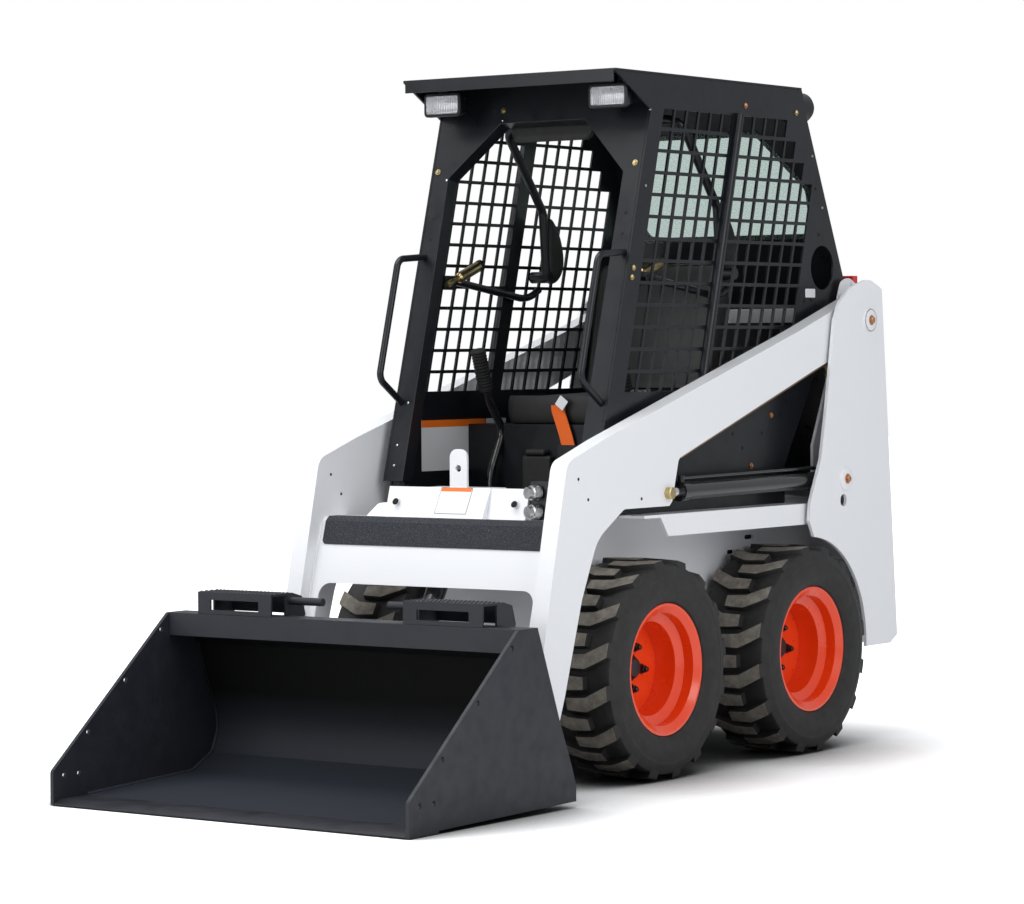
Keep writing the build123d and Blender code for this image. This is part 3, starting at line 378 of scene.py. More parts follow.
def add_tube(bm, path, radius, sides=20, material=0):
    """Round tube along frame points, its section carried on without twist."""
    ways = [(b - a).normalized() for a, b in zip(path, path[1:])]
    ways = [ways[0]] + [(a + b).normalized() for a, b in zip(ways, ways[1:])] + [ways[-1]]
    side = basis(ways[0])[0]
    rings = []
    for spot, way in zip(path, ways):
        side = (side - way * side.dot(way)).normalized()
        rings.append(add_ring(bm, spot, side, way.cross(side), radius, sides))
    add_skin(bm, rings, material)


def rounded_outline(centre, across, up, width, height, corner, steps):
    """Points of a rounded rectangle in the plane of two unit vectors, steps spans to a corner."""
    points = []
    for k, (sx, sz) in enumerate(((1, -1), (1, 1), (-1, 1), (-1, -1))):
        mid = centre + across * sx * (width / 2 - corner) * MM + up * sz * (height / 2 - corner) * MM
        for step in range(steps + 1):
            turn = radians(-90 + 90 * k + step * 90 / steps)
            points.append(mid + (across * cos(turn) + up * sin(turn)) * corner * MM)
    return points


def add_plate(bm, centre, across, up, width, height, thick, corner, material=0):
    """Thin plate with rounded corners, standing thick off its surface along across x up."""
    across, up = Vector(across).normalized(), Vector(up).normalized()
    outline = rounded_outline(centre, across, up, width, height, corner, 4)
    add_prism(bm, outline, across.cross(up) * thick, material)


def on_both_sides(build):
    """Calls build with each side's name and its sign along X."""
    for name, sign in SIDES:
        build(name, sign)


# ---------------------------------------------------------------- finish of the CAD pieces
# Nodes, their material, and the width in millimetres that their edges are rounded by.
FINISH = [
    (("upright_left", "upright_right", "lift_arm_left", "lift_arm_right"), WHITE, 2.5),
    (("cross_member", "tail_frame", "rear_door"), WHITE, 1.5),
    (("chassis_tub", "fender_rails"), WHITE, 1.0),
    (("cab_side_left", "cab_side_right"), BLACK, 0.6),
    (("cab_front_frame", "cab_roof", "cab_rear", "cab_floor"), BLACK, 1.5),
    (("grab_handles", "seat_bar"), BLACK, 0.0),
    (("bucket_shell", "bucket_sides", "cutting_edge", "bucket_steps", "coupler"), BUCKET, 1.2),
    (("lift_barrel_left", "lift_barrel_right", "tilt_barrel"), GLOSS_BLACK, 0.0),
    (("lift_rod_left", "lift_rod_right", "tilt_rod"), CHROME, 0.0),
    (("wheel_front_left", "wheel_front_right", "wheel_rear_left", "wheel_rear_right"), ORANGE, 0.0),
    (("arm_pins",), ZINC, 0.8),
    (("chassis_pins",), STEEL, 0.8),
    (("step_tread",), GRIT, 0.0),
    (("rear_window",), GLASS, 0.0),
    (("tail_lamps",), RED, 2.0),
    (("engine_block",), IRON, 4.0),
]
for names, material, width in FINISH:
    for node in names:
        obj = nodes[node]
        obj.data.materials.clear()
        obj.data.materials.append(material)
        attributes = obj.data.attributes
        if "custom_normal" in attributes:
            attributes.remove(attributes["custom_normal"])
        weld = obj.modifiers.new("weld", "WELD")
        weld.merge_threshold = 0.00002
        if width:
            flat = obj.modifiers.new("flat_faces", "DECIMATE")
            flat.decimate_type = "DISSOLVE"
            flat.angle_limit = radians(0.5)
            finish_mesh(obj, 30, width)
        else:
            finish_mesh(obj, 30)
            split = obj.modifiers.new("edges", "EDGE_SPLIT")
            split.split_angle = radians(32)

# The shell below its top beam takes the bucket's inside paint, with its painted shade high on the back.
shell = nodes["bucket_shell"]
shell.data.materials.append(BUCKET_SHADED_INTERIOR)
beam_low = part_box("bucket_shell")[1].z - 60 * MM
for face in shell.data.polygons:
    if (shell.matrix_world @ face.center).z < beam_low:
        face.material_index = 1

# ---------------------------------------------------------------- tyres
LUGS = 16                      # on each half of the tread
LUG_SPREAD = 3.0               # how much wider a lug's foot is on each side
LUG_SINK = 3.0                 # how deep the foot goes into the tread floor
LUG_DRAFT = 9.0                # how far the outer end's wall slopes out
# Lug stations from its inner end to the shoulder: x from the tyre's middle, lower and upper edge.
LUG = [(-28.0, -33.0, 0.0), (2.0, -35.0, 1.0), (31.0, -36.0, 3.0), (66.0, -20.0, 20.0), (97.0, -4.0, 36.0)]
CARCASS_SIDES = 120
# Half of the tyre's section as (x, radius): bead and sidewall behind the rim's flange, then the tread.
SIDEWALL = [
    (60, 153), (84, 154), (85.4, 160), (85.6, 170.5), (94, 171), (98, 173.5), (100, 177), (100.5, 180),
    (104.5, 186), (106.0, 194), (107.5, 206), (108.0, 218), (107.0, 232), (106.2, 238), (106.8, 240),
]
TREAD_LINE = [(106.0, 243), (103, 256), (98, 266), (86, 269), (60, 267), (31, 264), (0, 263)]


def carcass_radius(x):
    """Radius of the tread floor x from the tyre's middle."""
    for (x0, r0), (x1, r1) in zip(TREAD_LINE, TREAD_LINE[1:]):
        if x1 <= abs(x) <= x0:
            return r0 + (r1 - r0) * (x0 - abs(x)) / (x0 - x1)
    return TREAD_LINE[0][1]


def border(rows):
    """Vertices round the edge of a grid given by its rows."""
    first, last = rows[0], rows[-1]
    return [row[0] for row in rows] + last[1:] + [row[-1] for row in reversed(rows[:-1])] + first[-2:0:-1]


def add_lug(bm, centre_x, axle_y, side, phase):
    """One lug towards side (+1 or -1 along X): worn top, drafted walls, foot in the tread floor."""

    def row(x, low, high, radius):
        """Vertices across the lug at one station, low and high measured along the tread."""
        made = []
        for k in range(5):
            turn = phase - (low + (high - low) * k / 4) / TYRE_RADIUS
            y, z = axle_y - cos(turn) * radius, AXLE_Z - sin(turn) * radius
            made.append(bm.verts.new(at(centre_x + x * side, y, z)))
        return made

    top, foot = [], []
    for index, (x, low, high) in enumerate(LUG):
        crown = TYRE_RADIUS - 0.4 - 2.2 * (x / 100) ** 2
        top.append(row(x, low, high, crown))
        foot_x = x + {0: -LUG_SPREAD, len(LUG) - 1: LUG_DRAFT}.get(index, 0)
        foot.append(row(foot_x, low - LUG_SPREAD, high + LUG_SPREAD, carcass_radius(foot_x) - LUG_SINK))
    loop_faces(bm, top, closed_ring=False, material=1)
    loop_faces(bm, [border(top), border(foot)])


def make_tyre(end, name, sign):
    """Carcass turned from its section, with the lugs of its two halves in turn."""
    axle_y = AXLES[end]
    centre_x = sign * (TYRE_OUTER + TYRE_INNER) / 2
    bm = bmesh.new()
    section = SIDEWALL + TREAD_LINE
    profile = section + [(-x, r) for x, r in reversed(section[:-1])]
    ahead, down = Vector((0, -1, 0)), Vector((0, 0, -1))
    rings = []
    for x, radius in profile:
        rings.append(add_ring(bm, at(centre_x + x, axle_y, AXLE_Z), ahead, down, radius, CARCASS_SIDES))
    loop_faces(bm, [*rings, rings[0]])
    for number in range(2 * LUGS):
        side = sign if number % 2 else -sign
        add_lug(bm, centre_x, axle_y, side, number * pi / LUGS)
    tyre = piece(f"tyre_{end}_{name}_lugged", bm, [TYRE, TREAD], f"wheel_{end}_{name}", 42, 1.6)
    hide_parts(f"tyre_{end}_{name}")


# ---------------------------------------------------------------- wheel fittings
NUT_COUNT = 5
NUT_CIRCLE = 57.0              # radius that the nuts stand on
NUT_FIRST = 64.0               # degrees from +Y to the first nut
# Turned profiles as (distance, radius), each nut part with its number of sides.
NUT_CONE = ([(-1, 13.5), (2, 13.5), (3, 11)], 24)
NUT_HEXAGON = ([(2, 10.8), (12, 10.8), (14, 9.4)], 6)
NUT_STUD = ([(12, 6.5), (20, 6.5), (21.5, 5)], 16)
HUB_CAP = [(-1, 36), (4, 36), (5.5, 27), (17, 26.5), (20.5, 23), (21, 8)]
VALVE = [(0, 5), (10, 4), (26, 4), (27, 5.2), (38, 5.2), (39, 4)]


def make_wheel_fittings(end, name, sign):
    """Dark wheel nuts, hub cap and valve in the dish."""
    axle_y = AXLES[end]
    way = (sign, 0, 0)
    bm = bmesh.new()
    for k in range(NUT_COUNT):
        turn = radians(NUT_FIRST + 360 / NUT_COUNT * k)
        spot = at(sign * DISC_FACE, axle_y + NUT_CIRCLE * cos(turn), AXLE_Z + NUT_CIRCLE * sin(turn))
        for profile, sides in (NUT_CONE, NUT_HEXAGON, NUT_STUD):
            add_turned(bm, spot, way, profile, sides)
    add_turned(bm, at(sign * DISC_FACE, axle_y, AXLE_Z), way, HUB_CAP, 48)
    valve = at(sign * DISC_FACE, axle_y - 66, AXLE_Z - 78)
    add_turned(bm, valve, (sign * 0.7, -0.35, -0.5), VALVE, 16)
    body = f"wheel_{end}_{name}"
    piece(f"wheel_fittings_{end}_{name}", bm, DARK_STEEL, body, 35, 0.5)


for end in AXLES:
    for name, sign in SIDES:
        make_tyre(end, name, sign)
        make_wheel_fittings(end, name, sign)


# ---------------------------------------------------------------- arms and uprights
PIVOTS = [(1049, 1176), (914, 739)]                      # y, z on the upright: arm and lift cylinder
ARM_HOLES = [(-357, 780), (-315, 728), (-76, 721)]       # y, z on both faces of the arm
PIPE_LINE = [(118, 826), (800, 1046), (868, 1066)]       # y, z of the arm's lower edge
PLUG = [(-1, 33), (3, 33), (5, 31), (6.5, 28)]
PLUG_WASHER = [(6, 14), (8, 14), (8.5, 12)]
PLUG_BOLT = [(8, 9), (14, 9), (15, 7.5)]
SMALL_HOLE = [(0, 4), (1.6, 4)]
EYE_NUT = [(0, 17), (8, 17), (8.6, 16)]
EYE_LOCKNUT = [(8.4, 15.4), (9.4, 17), (16, 17), (18, 14.5)]
PIPE_UNION = [(-8, 13), (10, 13), (12, 10), (30, 10), (32, 8)]
PIPE_ELBOW = [(0, 7), (26, 7), (28, 10), (40, 10)]


def make_side_hardware(name, sign):
    """Pivot plugs with their bolts on the upright, and on the arm the small holes, as discs of painted shade,
    and the eye's nuts.
    """
    out, inward = (sign, 0, 0), (-sign, 0, 0)
    bm = bmesh.new()
    for y, z in PIVOTS:
        spot = at(sign * UPRIGHT_OUTER, y, z)
        add_turned(bm, spot, out, PLUG, 48, 0)
        add_turned(bm, spot, out, PLUG_WASHER, 32, 1)
        add_turned(bm, spot, out, PLUG_BOLT, 6, 1)
    piece(f"pivot_plugs_{name}", bm, [WHITE, COPPER], "chassis", 35, 0.5)
    bm = bmesh.new()
    for y, z in ARM_HOLES:
        add_turned(bm, at(sign * (ARM_OUTER - 1), y, z), out, SMALL_HOLE, 12)
        add_turned(bm, at(sign * (ARM_INNER + 1), y, z), inward, SMALL_HOLE, 12)
    piece(f"arm_hole_shades_{name}", bm, PAINTED_HOLE_SHADE, "lift_arms")
    bm = bmesh.new()
    for profile in (EYE_NUT, EYE_LOCKNUT):
        add_turned(bm, at(sign * (ARM_OUTER - 1), *LIFT_EYE), out, profile, 6)
    piece(f"eye_nut_{name}", bm, ZINC, "lift_arms", 35, 0.6)


def make_arm_pipes(name, sign):
    """Two hydraulic pipes under the arm's long beam, with the elbow and union at their rear end."""
    bm = bmesh.new()
    for inset, drop in ((9, 5), (22, 7)):
        x = sign * (ARM_OUTER - inset)
        add_tube(bm, rounded_path([(x, y, z - drop) for y, z in PIPE_LINE], 30), 4.5, 12)
    union = at(sign * (ARM_OUTER - 15), 868, 1058)
    add_turned(bm, union, (0, 0.94, 0.34), PIPE_UNION, 6, 1)
    add_turned(bm, union, (0, 0.3, -1), PIPE_ELBOW, 6, 1)
    piece(f"arm_pipes_{name}", bm, [PIPE, ZINC], "lift_arms", 35)


on_both_sides(make_side_hardware)
on_both_sides(make_arm_pipes)


# ---------------------------------------------------------------- cab fasteners, labels and lamps
FRONT_BOLTS = [(-132, 1734), (-317, 1576), (315, 1579)]            # x, z on the front wall
FRONT_HOLES = [(-160, 1733), (13, 1733), (-309, 1450), (-308, 1395), (307, 1450), (307, 1396)]
FRONT_SCREWS = [(-130, 1708), (-285, 1553), (336, 1717), (-318, 962), (-296, 962), (-310, 851), (-310, 798)]
SIDE_BRASS = [(5, 1308), (-3, 1284), (813, 1744)]                  # y, z on the side wall
SIDE_COPPER = [(550, 1750), (674, 918), (570, 784)]
SIDE_SCREWS = [(64, 1520), (898, 1629), (951, 1488)]
SIDE_HOLES = [
    (931, 1413), (915, 1540), (478, 872), (626, 871), (527, 833), (816, 964), (764, 967), (852, 1228),
    (888, 1232), (814, 1194), (830, 1193),
]
# Labels inside the right wall: y and z of the middle, width, height, height of the coloured band.
WALL_LABELS = [
    (134, 845, 290, 136, 19), (329, 893, 92, 40, 0), (329, 824, 92, 97, 21), (-62, 868, 14, 60, 12),
]
FRONT_LAMP_SIZE = (120, 63)
# Rings of the front lamps as (depth behind the face, inset, corner), of the rear ones as (depth, radius).
FRONT_HOUSING = [(48, 12, 6), (46, 10, 7), (14, 0, 12), (2, 0, 12), (0, 2, 10), (0, 8, 6)]
FRONT_MIRROR = [(0, 8, 6), (4, 8.5, 6), (26, 15, 7), (34, 25, 5)]
FRONT_BACK = [(48, 12, 6), (48, 30, 1)]
REAR_HOUSING = [(4, 42), (62, 42), (64, 42), (76, 36), (77, 33)]
REAR_MIRROR = [(77, 33), (74, 32), (56, 22), (50, 10)]
REAR_LENS = [(75, 32.6), (77, 26), (77.8, 12)]


def make_front_fasteners():
    """Bolts, screws and holes of the leaning front wall, the holes as discs of painted shade."""
    out = Vector((0, -1, FRONT_LEAN)).normalized()
    bm = bmesh.new()
    for x, z in FRONT_BOLTS:
        add_bolt(bm, at(x, cab_front(z), z), out)
    for x, z in FRONT_SCREWS:
        add_turned(bm, at(x, cab_front(z), z), out, [(-0.5, 3.6), (1.4, 3.2), (2.2, 1.8)], 16, 1)
    for x, z in FRONT_HOLES:
        add_turned(bm, at(x, cab_front(z), z), out, [(-0.5, 4.5), (0.5, 4.5)], 16, 2)
    piece("cab_front_fasteners", bm, [ZINC, STEEL, PAINTED_HOLE_SHADE], "chassis", 35)


def make_side_fasteners(name, sign):
    """Bolts, screws and holes of a side wall, the holes as discs of painted shade."""
    out = (sign, 0, 0)
    x = sign * CAB_OUTER
    bm = bmesh.new()
    for material, spots in ((0, SIDE_BRASS), (1, SIDE_COPPER)):
        for y, z in spots:
            add_bolt(bm, at(x, y, z), out, material=material)
    for y, z in SIDE_SCREWS:
        add_turned(bm, at(x, y, z), out, [(-0.5, 4), (1.6, 3.6), (2.4, 2)], 16, 2)
    for y, z in SIDE_HOLES:
        add_turned(bm, at(x, y, z), out, [(-0.5, 5), (0.5, 5)], 16, 3)
    piece(f"cab_side_fasteners_{name}", bm, [ZINC, COPPER, STEEL, PAINTED_HOLE_SHADE], "chassis", 35)


def add_label(bm, centre, across, up, width, height, header=0.0):
    """Blank label with a dark edge, and a coloured band along its top when header is given."""
    add_plate(bm, centre, across, up, width + 2, height + 2, 0.3, 3.0, 2)
    add_plate(bm, centre, across, up, width, height, 0.5, 2.5, 0)
    if header:
        top = centre + Vector(up).normalized() * (height - header) / 2 * MM
        lift = Vector(across).cross(Vector(up)).normalized() * 0.4 * MM
        add_plate(bm, top + lift, across, up, width - 2, header, 0.4, 2.0, 1)


def make_labels():
    """Blank labels: inside the right wall, on the left wall and on the tilt cylinder's cover."""
    bm = bmesh.new()
    for y, z, width, height, header in WALL_LABELS:
        add_label(bm, at(-CAB_INSIDE, y, z), (0, 1, 0), (0, 0, 1), width, height, header)
    add_label(bm, at(CAB_OUTER, 884, 1251), (0, 1, 0), (0, 0, 1), 53, 24)
    piece("cab_labels", bm, [LABEL, LABEL_ORANGE, PAINTED_HOLE_SHADE], "chassis", 30)
    bm = bmesh.new()
    slope = Vector((0, 40, 78)).normalized()
    add_label(bm, at(-1, -315, 717), (1, 0, 0), slope, 98, 72, 10)
    piece("cover_label", bm, [LABEL, LABEL_ORANGE, PAINTED_HOLE_SHADE], "lift_arms", 30)


def add_shell(bm, levels, outline, material, cap=False):
    """Skin through the outlines given for each level, closed at the last one when cap is true."""
    rings = [[bm.verts.new(p) for p in outline(*level)] for level in levels]
    loop_faces(bm, rings, material=material)
    if cap:
        bm.faces.new(rings[-1]).material_index = material


def add_front_lamp(bm, x):
    """Square lamp with its bracket under the roof's front edge."""
    width, height = FRONT_LAMP_SIZE
    top = ROOF_TOP - 32
    across, up = Vector((1, 0, 0)), Vector((0, 0, 1))

    def square(depth, inset, corner):
        centre = at(x, LAMP_FACE + depth, top - height / 2)
        return rounded_outline(centre, across, up, width - 2 * inset, height - 2 * inset, corner, 6)

    add_shell(bm, FRONT_HOUSING, square, 0)
    add_shell(bm, FRONT_MIRROR, square, 1, cap=True)
    add_shell(bm, FRONT_BACK, square, 0, cap=True)
    add_prism(bm, square(1.5, 8.3, 6), (0, 3, 0), 2)
    add_box(bm, (x - 16, LAMP_FACE + 6, top - 3), (x + 16, LAMP_FACE + 24, ROOF_TOP - 6.3), 0)


def add_rear_lamp(bm, x):
    """Round lamp on the cab's rear wall."""
    z = ROOF_TOP - 50
    y = cab_rear(z)
    turns = [2 * pi * k / 40 for k in range(40)]

    def circle(depth, radius):
        return [at(x + radius * cos(turn), y + depth, z + radius * sin(turn)) for turn in turns]

    add_shell(bm, REAR_HOUSING, circle, 0)
    add_shell(bm, REAR_MIRROR, circle, 1, cap=True)
    add_shell(bm, REAR_LENS, circle, 2, cap=True)


def make_lamps():
    """Square front lamps and round rear lamps: housing, bright reflector and clear lens."""
    bm = bmesh.new()
    for sign in (1, -1):
        add_front_lamp(bm, sign * 265)
        add_rear_lamp(bm, sign * 290)
    lamps = piece("work_lamps_clear", bm, [BLACK, MIRROR, LENS], "chassis", 30)
    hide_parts("work_lamps")


make_front_fasteners()
on_both_sides(make_side_fasteners)
make_labels()
make_lamps()


# ---------------------------------------------------------------- cross-member and bucket details
COUPLING = [(0, 17), (7, 17), (8, 19), (24, 19), (26, 15), (38, 15), (39, 9)]
# The shell's inner line along the bucket's side: y, z from the lip to the top beam.
BUCKET_LINE = [(-1112, 17), (-720, 35), (-642, 75), (-618, 130), (-622, 180), (-698, 379), (-732, 392)]


def make_cross_details():
    """Bolt heads on the tilt pin, quick couplings on their block, and a hole in each wing as a disc of
    painted shade.
    """
    bm = bmesh.new()
    for sign in (1, -1):
        end = at(sign * 114, -262, 711)
        add_turned(bm, end, (sign, 0, 0), [(-2, 14), (3, 14), (4, 12)], 24, 0)
        add_turned(bm, end, (sign, 0, 0), [(3, 10), (8, 10), (9, 8)], 6, 0)
    for z in (742, 694):
        spot, way = at(252, -296, z), (-0.35, -1, 0)
        add_turned(bm, spot, way, COUPLING, 24, 1)
        add_turned(bm, spot, way, [(8, 20.5), (12, 20.5)], 6, 1)
    add_box(bm, (226, -296, 672.4), (288, -274, 770), 2)
    for sign in (1, -1):
        add_turned(bm, at(sign * 188, -314.5, 712), (0, -78, 40), [(-0.5, 9), (0.8, 9)], 24, 3)
    piece("cross_details", bm, [OLIVE, STEEL, DARK_STEEL, PAINTED_HOLE_SHADE], "lift_arms", 35)


def make_step_teeth():
    """Rows of punched teeth on the tops of the bucket's steps."""
    low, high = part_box("bucket_steps")
    top = high.z / MM
    front = (low.y - FRONT_AXLE_Y) / MM
    tooth = [(0, 4), (2.6, 3), (3.2, 1.2)]
    bm = bmesh.new()
    for sign in (1, -1):
        for column in range(20):
            x = sign * (210 + column * 12)
            for row in range(4):
                add_turned(bm, at(x, front + 10 + row * 20, top - 1), (0, 0, 1), tooth, 10)
    piece("step_teeth", bm, BUCKET, "bucket", 35)


def make_welds(name, sign):
    """Weld beads: the bucket's side to its shell, and the cross-member to the arm."""
    x = sign * (BUCKET_OUTER - 12)
    bm = bmesh.new()
    # The bucket's bead takes the inside paint, painted shade included
    add_tube(bm, rounded_path([(x, y, z) for y, z in BUCKET_LINE], 12), 5, 10)
    piece(f"bucket_weld_{name}", bm, BUCKET_SHADED_INTERIOR, "bucket", 50)
    x = sign * (ARM_INNER - 1)
    bm = bmesh.new()
    add_tube(bm, rounded_path([(x, panel_front(z) - 1, z) for z in (420, 540, 655)], 5), 3.5, 10)
    piece(f"panel_weld_{name}", bm, WHITE, "lift_arms", 50)


def make_radiator():
    """Finned radiator and oil cooler behind the rear door's louvres."""
    bm = bmesh.new()
    add_box(bm, (-300, 1052, 716), (300, 1080, 1172))
    for k in range(24):
        x = -285 + k * 24.8
        add_box(bm, (x - 2, 1080, 726), (x + 2, 1084, 1162))
    piece("radiator_core", bm, DARK_STEEL, "chassis", 30)


make_cross_details()
make_step_teeth()
on_both_sides(make_welds)
make_radiator()


# ---------------------------------------------------------------- inside the cab
def soften(obj, node):
    """Finish of a stuffed piece that stands for a CAD solid."""
    smooth = obj.modifiers.new("soft", "SUBSURF")
    smooth.levels = smooth.render_levels = 1
    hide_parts(node)


def seam_depth(u):
    """Depth at u of the two sewn seams, each a narrow valley."""
    return max(0.0, 1 - abs(abs(u) - 0.5) / 0.08)


def stuffed_block(bm, corner, wide, long, thick, crown):
    """Stuffed block from a corner, its outer face crowned by crown mm between two seams across wide."""
    centre = corner + (wide + long + thick) / 2
    made = bmesh.ops.create_cube(bm, size=2.0)
    edges = list({e for v in made["verts"] for e in v.link_edges})
    bmesh.ops.subdivide_edges(bm, edges=edges, cuts=13, use_grid_fill=True)
    for vert in bm.verts:
        u, v, w = vert.co
        if w > 0.9:
            dome = (1 - u * u) * (1 - v * v)
            w -= 2 * crown * (1 - dome + 0.35 * seam_depth(u)) * MM / thick.length
        pinch = 1 - 0.04 * abs(w) ** 3
        vert.co = centre + (wide * u + long * v) / 2 * pinch + thick / 2 * w


def make_seat():
    """Seat cushion and back rest of black vinyl with two lengthwise seams."""
    low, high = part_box("seat_cushion")
    size = high - low
    wide, long, thick = Vector((size.x, 0, 0)), Vector((0, size.y, 0)), Vector((0, 0, size.z))
    bm = bmesh.new()
    stuffed_block(bm, low, wide, long, thick, 14)
    seat = piece("seat_cushion_padded", bm, VINYL, "chassis", 60)
    soften(seat, "seat_cushion")
    low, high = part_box("seat_back")
    foot, head = at(0, 642, low.z / MM), at(0, 720, high.z / MM)
    wide, thick = Vector((low.x - high.x, 0, 0)), Vector((0, -76, 4)) * MM
    bm = bmesh.new()
    stuffed_block(bm, foot - wide / 2, wide, head - foot, thick, 18)
    back = piece("seat_back_padded", bm, VINYL, "chassis", 60)
    soften(back, "seat_back")


def make_head_pad():
    """Ribbed pad behind the header, its lower corners well rounded."""
    low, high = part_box("head_pad")
    half = (high.x - low.x) / 2 / MM
    bottom, top = low.z / MM, high.z / MM
    stations, sides = 26, 16
    bm = bmesh.new()
    rings = []
    for k in range(stations + 1):
        u = -1 + 2 * k / stations
        edge = min(1.0, (1 - abs(u)) / 0.16)
        lift = 26 * (1 - (1 - (1 - edge) ** 2) ** 0.5)
        rib = 4.0 if 0 < k < stations and k % 2 else 0.0
        ring = []
        for step in range(sides):
            turn = 2 * pi * step / sides
            z = (bottom + lift + top) / 2 + (top - bottom - lift) / 2 * max(-1, min(1, 1.25 * sin(turn)))
            depth = (13 - rib) * max(-1, min(1, 1.3 * cos(turn)))
            ring.append(bm.verts.new(at(u * half, cab_front(z) + 60 + depth, z)))
        rings.append(ring)
    add_skin(bm, rings)
    pad = piece("head_pad_ribbed", bm, RUBBER, "chassis", 50)
    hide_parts("head_pad")


def make_levers():
    """Steering levers: foot, bent tube and a ribbed rubber grip."""
    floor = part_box("steering_levers")[0].z / MM
    bm = bmesh.new()
    for sign in (1, -1):
        x = sign * 225
        add_box(bm, (x - 20, 128, floor), (x + 20, 172, floor + 20), 0)
        line = [(x, 150, floor + 10), (x, 156, 775), (x, 212, 884), (x, 145, 968), (x, 133, 1000)]
        add_tube(bm, rounded_path(line, 34), 11, 20, 0)
        foot, head = at(x, 136, 990), at(x, 100, 1101)
        length = (head - foot).length / MM
        profile = [(0, 14), (3, 19)]
        for k in range(12):
            start = 6 + k * (length - 14) / 12
            profile += [(start, 19), (start + 3, 20.5), (start + 6, 20.5), (start + 7.5, 17.5)]
        profile += [(length - 6, 21), (length - 2, 21), (length, 17)]
        add_turned(bm, foot, head - foot, profile, 28, 1)
    levers = piece("steering_levers_bent", bm, [GLOSS_BLACK, RUBBER], "chassis", 40)
    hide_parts("steering_levers")


def make_belt():
    """Orange seat belt over the seat's front edge, with its tag and the black buckle."""
    line = [(-27, 186, 952), (-27, 189, 935), (-14, 189, 900), (-2, 189, 868), (5, 189, 842)]
    section = ((-21, 0), (21, 0), (21, 3), (-21, 3))
    bm = bmesh.new()
    add_skin(bm, [[bm.verts.new(at(x + dx, y + dy, z)) for dx, dy in section] for x, y, z in line])
    add_plate(bm, at(-12, 184, 958), (0.8, 0, -0.6), (0.6, 0, 0.8), 30, 30, 1.0, 2.0, 1)
    add_box(bm, (-26, 184, 818), (34, 198, 846), 2)
    piece("seat_belt", bm, [BELT, LABEL, RUBBER], "chassis", 30)
    bm = bmesh.new()
    add_box(bm, (-140, 176, 712), (-46, 199, 817))
    add_box(bm, (-128, 172, 817), (-62, 199, 834))
    piece("belt_console", bm, RUBBER, "chassis", 30, 8, 3)


# Outline of the seat bar's pad as (y, z), the point that its layers shrink towards, and the layers
# as (share of the outline's size, x from the bar's middle).
PAD_OUTLINE = [
    (500, 1478), (528, 1462), (555, 1425), (570, 1385), (578, 1345), (573, 1310), (548, 1284),
    (520, 1279), (500, 1292),
]
PAD_MIDDLE = (528, 1375)
BAR_X = 285
PAD_LAYERS = [(0.70, -19), (0.92, -14), (1.0, -5), (1.0, 5), (0.92, 14), (0.70, 19)]


def make_bar_pad(name, sign):
    """Thick pad behind the upright part of the seat bar."""
    mid_y, mid_z = PAD_MIDDLE
    bm = bmesh.new()
    rings = []
    for share, offset in PAD_LAYERS:
        x = sign * BAR_X + offset
        spots = [at(x, mid_y + (y - mid_y) * share, mid_z + (z - mid_z) * share) for y, z in PAD_OUTLINE]
        rings.append([bm.verts.new(spot) for spot in spots])
    add_skin(bm, rings)
    pad = piece(f"seat_bar_pad_{name}", bm, RUBBER, "seat_bar", 60)
    smooth = pad.modifiers.new("soft", "SUBSURF")
    smooth.levels = smooth.render_levels = 2


def make_stay(name, sign):
    """Stay that runs forward from under the bar's pivot, with the gas spring at its front end."""
    x, spring_x = sign * (CAB_INSIDE - 21), sign * (CAB_INSIDE - 37)
    bm = bmesh.new()
    add_tube(bm, rounded_path([(x, 507, 1266), (x, 470, 1247), (x, 428, 1241), (x, 100, 1287)], 30), 10, 18)
    add_box(bm, (x - 8, 60, 1262), (x + 8, 112, 1300))
    start, end = at(spring_x, 66, 1277), at(spring_x, 212, 1330)
    way = end - start
    length = way.length / MM
    add_turned(bm, start, way, [(0, 9), (14, 9), (16, 6), (48, 6)], 18, 1)
    add_turned(bm, start, way, [(44, 10), (50, 14.5), (length - 14, 14.5), (length - 8, 12)], 28, 1)
    add_turned(bm, start, way, [(length - 12, 15.5), (length, 15.5), (length + 4, 11)], 24, 0)
    add_rod(bm, at(sign * CAB_INSIDE, 78, 1281), at(spring_x, 78, 1281), 6, 16)
    piece(f"bar_stay_{name}", bm, [BLACK, ZINC], "chassis", 35)


make_seat()
make_head_pad()
make_levers()
make_belt()
on_both_sides(make_bar_pad)
on_both_sides(make_stay)


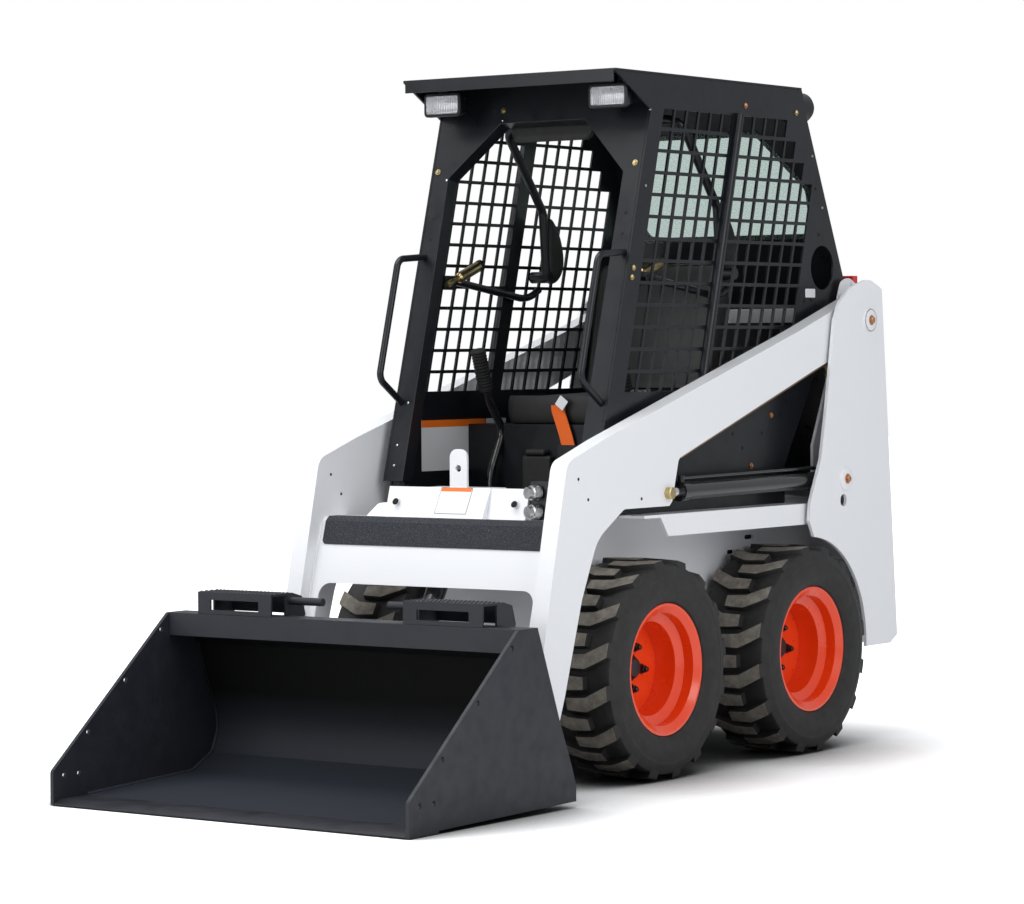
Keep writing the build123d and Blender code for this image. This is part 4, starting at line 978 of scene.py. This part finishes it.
# ---------------------------------------------------------------- stage, light and camera
def make_stage():
    """White floor with painted shadow: its colour and glow darken with ambient occlusion where the machine
    hides the sky, and it glows brighter towards the horizon.
    """
    floor = bpy.data.meshes.new("floor")
    bm = bmesh.new()
    bmesh.ops.create_grid(bm, x_segments=1, y_segments=1, size=30)
    bm.to_mesh(floor)
    bm.free()
    obj = bpy.data.objects.new("floor", floor)
    bpy.context.scene.collection.objects.link(obj)
    s = Shader("floor", (0.92, 0.92, 0.92), 0.9, specular_ior_level=0.1)
    s.bsdf.inputs["Emission Color"].default_value = (1, 1, 1, 1)
    # Painted shadow: ambient occlusion darkens the floor's colour and its glow under and beside the machine
    open_sky = s.add("AmbientOcclusion", ("Distance", 0.55), samples=12).outputs["AO"]
    painted_shadow_mask = s.ramp(open_sky, (0.36, 0.0), (0.90, 1.0))
    s.use("Base Color", s.mix(painted_shadow_mask, (0.03, 0.03, 0.03), (0.92, 0.92, 0.92)))
    ray = s.add("LightPath").outputs["Is Camera Ray"]
    reach = s.add("VectorMath", (0, s.place), operation="LENGTH").outputs["Value"]
    fade = s.add(
        "MapRange", ("Value", reach), ("From Min", 0.9), ("From Max", 2.6), ("To Min", 0.26), ("To Max", 1.1)
    )
    near = s.add("Math", (0, fade.outputs["Result"]), (1, painted_shadow_mask), operation="MULTIPLY")
    lift = s.add("Math", (0, ray), (1, near.outputs["Value"]), operation="MULTIPLY")
    s.use("Emission Strength", lift.outputs["Value"])
    floor.materials.append(s.material)


def make_world():
    """White behind the object; a soft studio of plain grey for everything else."""
    world = bpy.data.worlds.new("studio")
    world.use_nodes = True
    tree = world.node_tree
    tree.nodes.clear()
    output = tree.nodes.new("ShaderNodeOutputWorld")
    seen = tree.nodes.new("ShaderNodeBackground")
    seen.inputs["Color"].default_value = (1, 1, 1, 1)
    seen.inputs["Strength"].default_value = 1.0
    soft = tree.nodes.new("ShaderNodeBackground")
    soft.inputs["Color"].default_value = (0.93, 0.96, 1, 1)
    soft.inputs["Strength"].default_value = 0.50
    path = tree.nodes.new("ShaderNodeLightPath")
    either = tree.nodes.new("ShaderNodeMath")
    either.operation = "MAXIMUM"
    tree.links.new(path.outputs["Is Camera Ray"], either.inputs[0])
    tree.links.new(path.outputs["Is Transmission Ray"], either.inputs[1])
    mix = tree.nodes.new("ShaderNodeMixShader")
    tree.links.new(either.outputs["Value"], mix.inputs[0])
    tree.links.new(soft.outputs[0], mix.inputs[1])
    tree.links.new(seen.outputs[0], mix.inputs[2])
    tree.links.new(mix.outputs[0], output.inputs["Surface"])
    bpy.context.scene.world = world


def add_area(name, spot, target, size, power):
    """Rectangular light of power watts at spot, turned towards target."""
    light = bpy.data.lights.new(name, "AREA")
    light.shape = "RECTANGLE"
    light.size, light.size_y = size
    light.energy = power
    obj = bpy.data.objects.new(name, light)
    obj.location = spot
    obj.rotation_euler = (Vector(target) - Vector(spot)).to_track_quat("-Z", "Y").to_euler()
    bpy.context.scene.collection.objects.link(obj)


def make_camera():
    """Low front three-quarter view from the machine's left."""
    yaw, pitch, roll = radians(35.67), radians(1.68), radians(-0.38)
    forward = Vector((-sin(yaw) * cos(pitch), cos(yaw) * cos(pitch), -sin(pitch)))
    right = Vector((cos(yaw), sin(yaw), 0))
    up = right.cross(forward)
    right, up = cos(roll) * right + sin(roll) * up, cos(roll) * up - sin(roll) * right
    data = bpy.data.cameras.new("camera")
    data.sensor_width = 36.0
    data.lens = 123.5
    camera = bpy.data.objects.new("camera", data)
    turn = Matrix((right, up, -forward)).transposed().to_4x4()
    camera.matrix_world = Matrix.Translation(at(5328.8, -7484.3, 1102.4)) @ turn
    bpy.context.scene.collection.objects.link(camera)
    bpy.context.scene.camera = camera


make_stage()
make_world()
add_area("top_light", (-0.6, -1.2, 4.2), (0, 0, 0.6), (3.6, 3.6), 135)
add_area("left_light", (4.6, -1.2, 2.6), (0, 0, 0.8), (3.0, 2.6), 72)
add_area("front_light", (-1.2, -5.2, 2.4), (0, 0, 0.7), (3.2, 2.4), 85)
make_camera()
bpy.context.scene.view_settings.view_transform = "Standard"
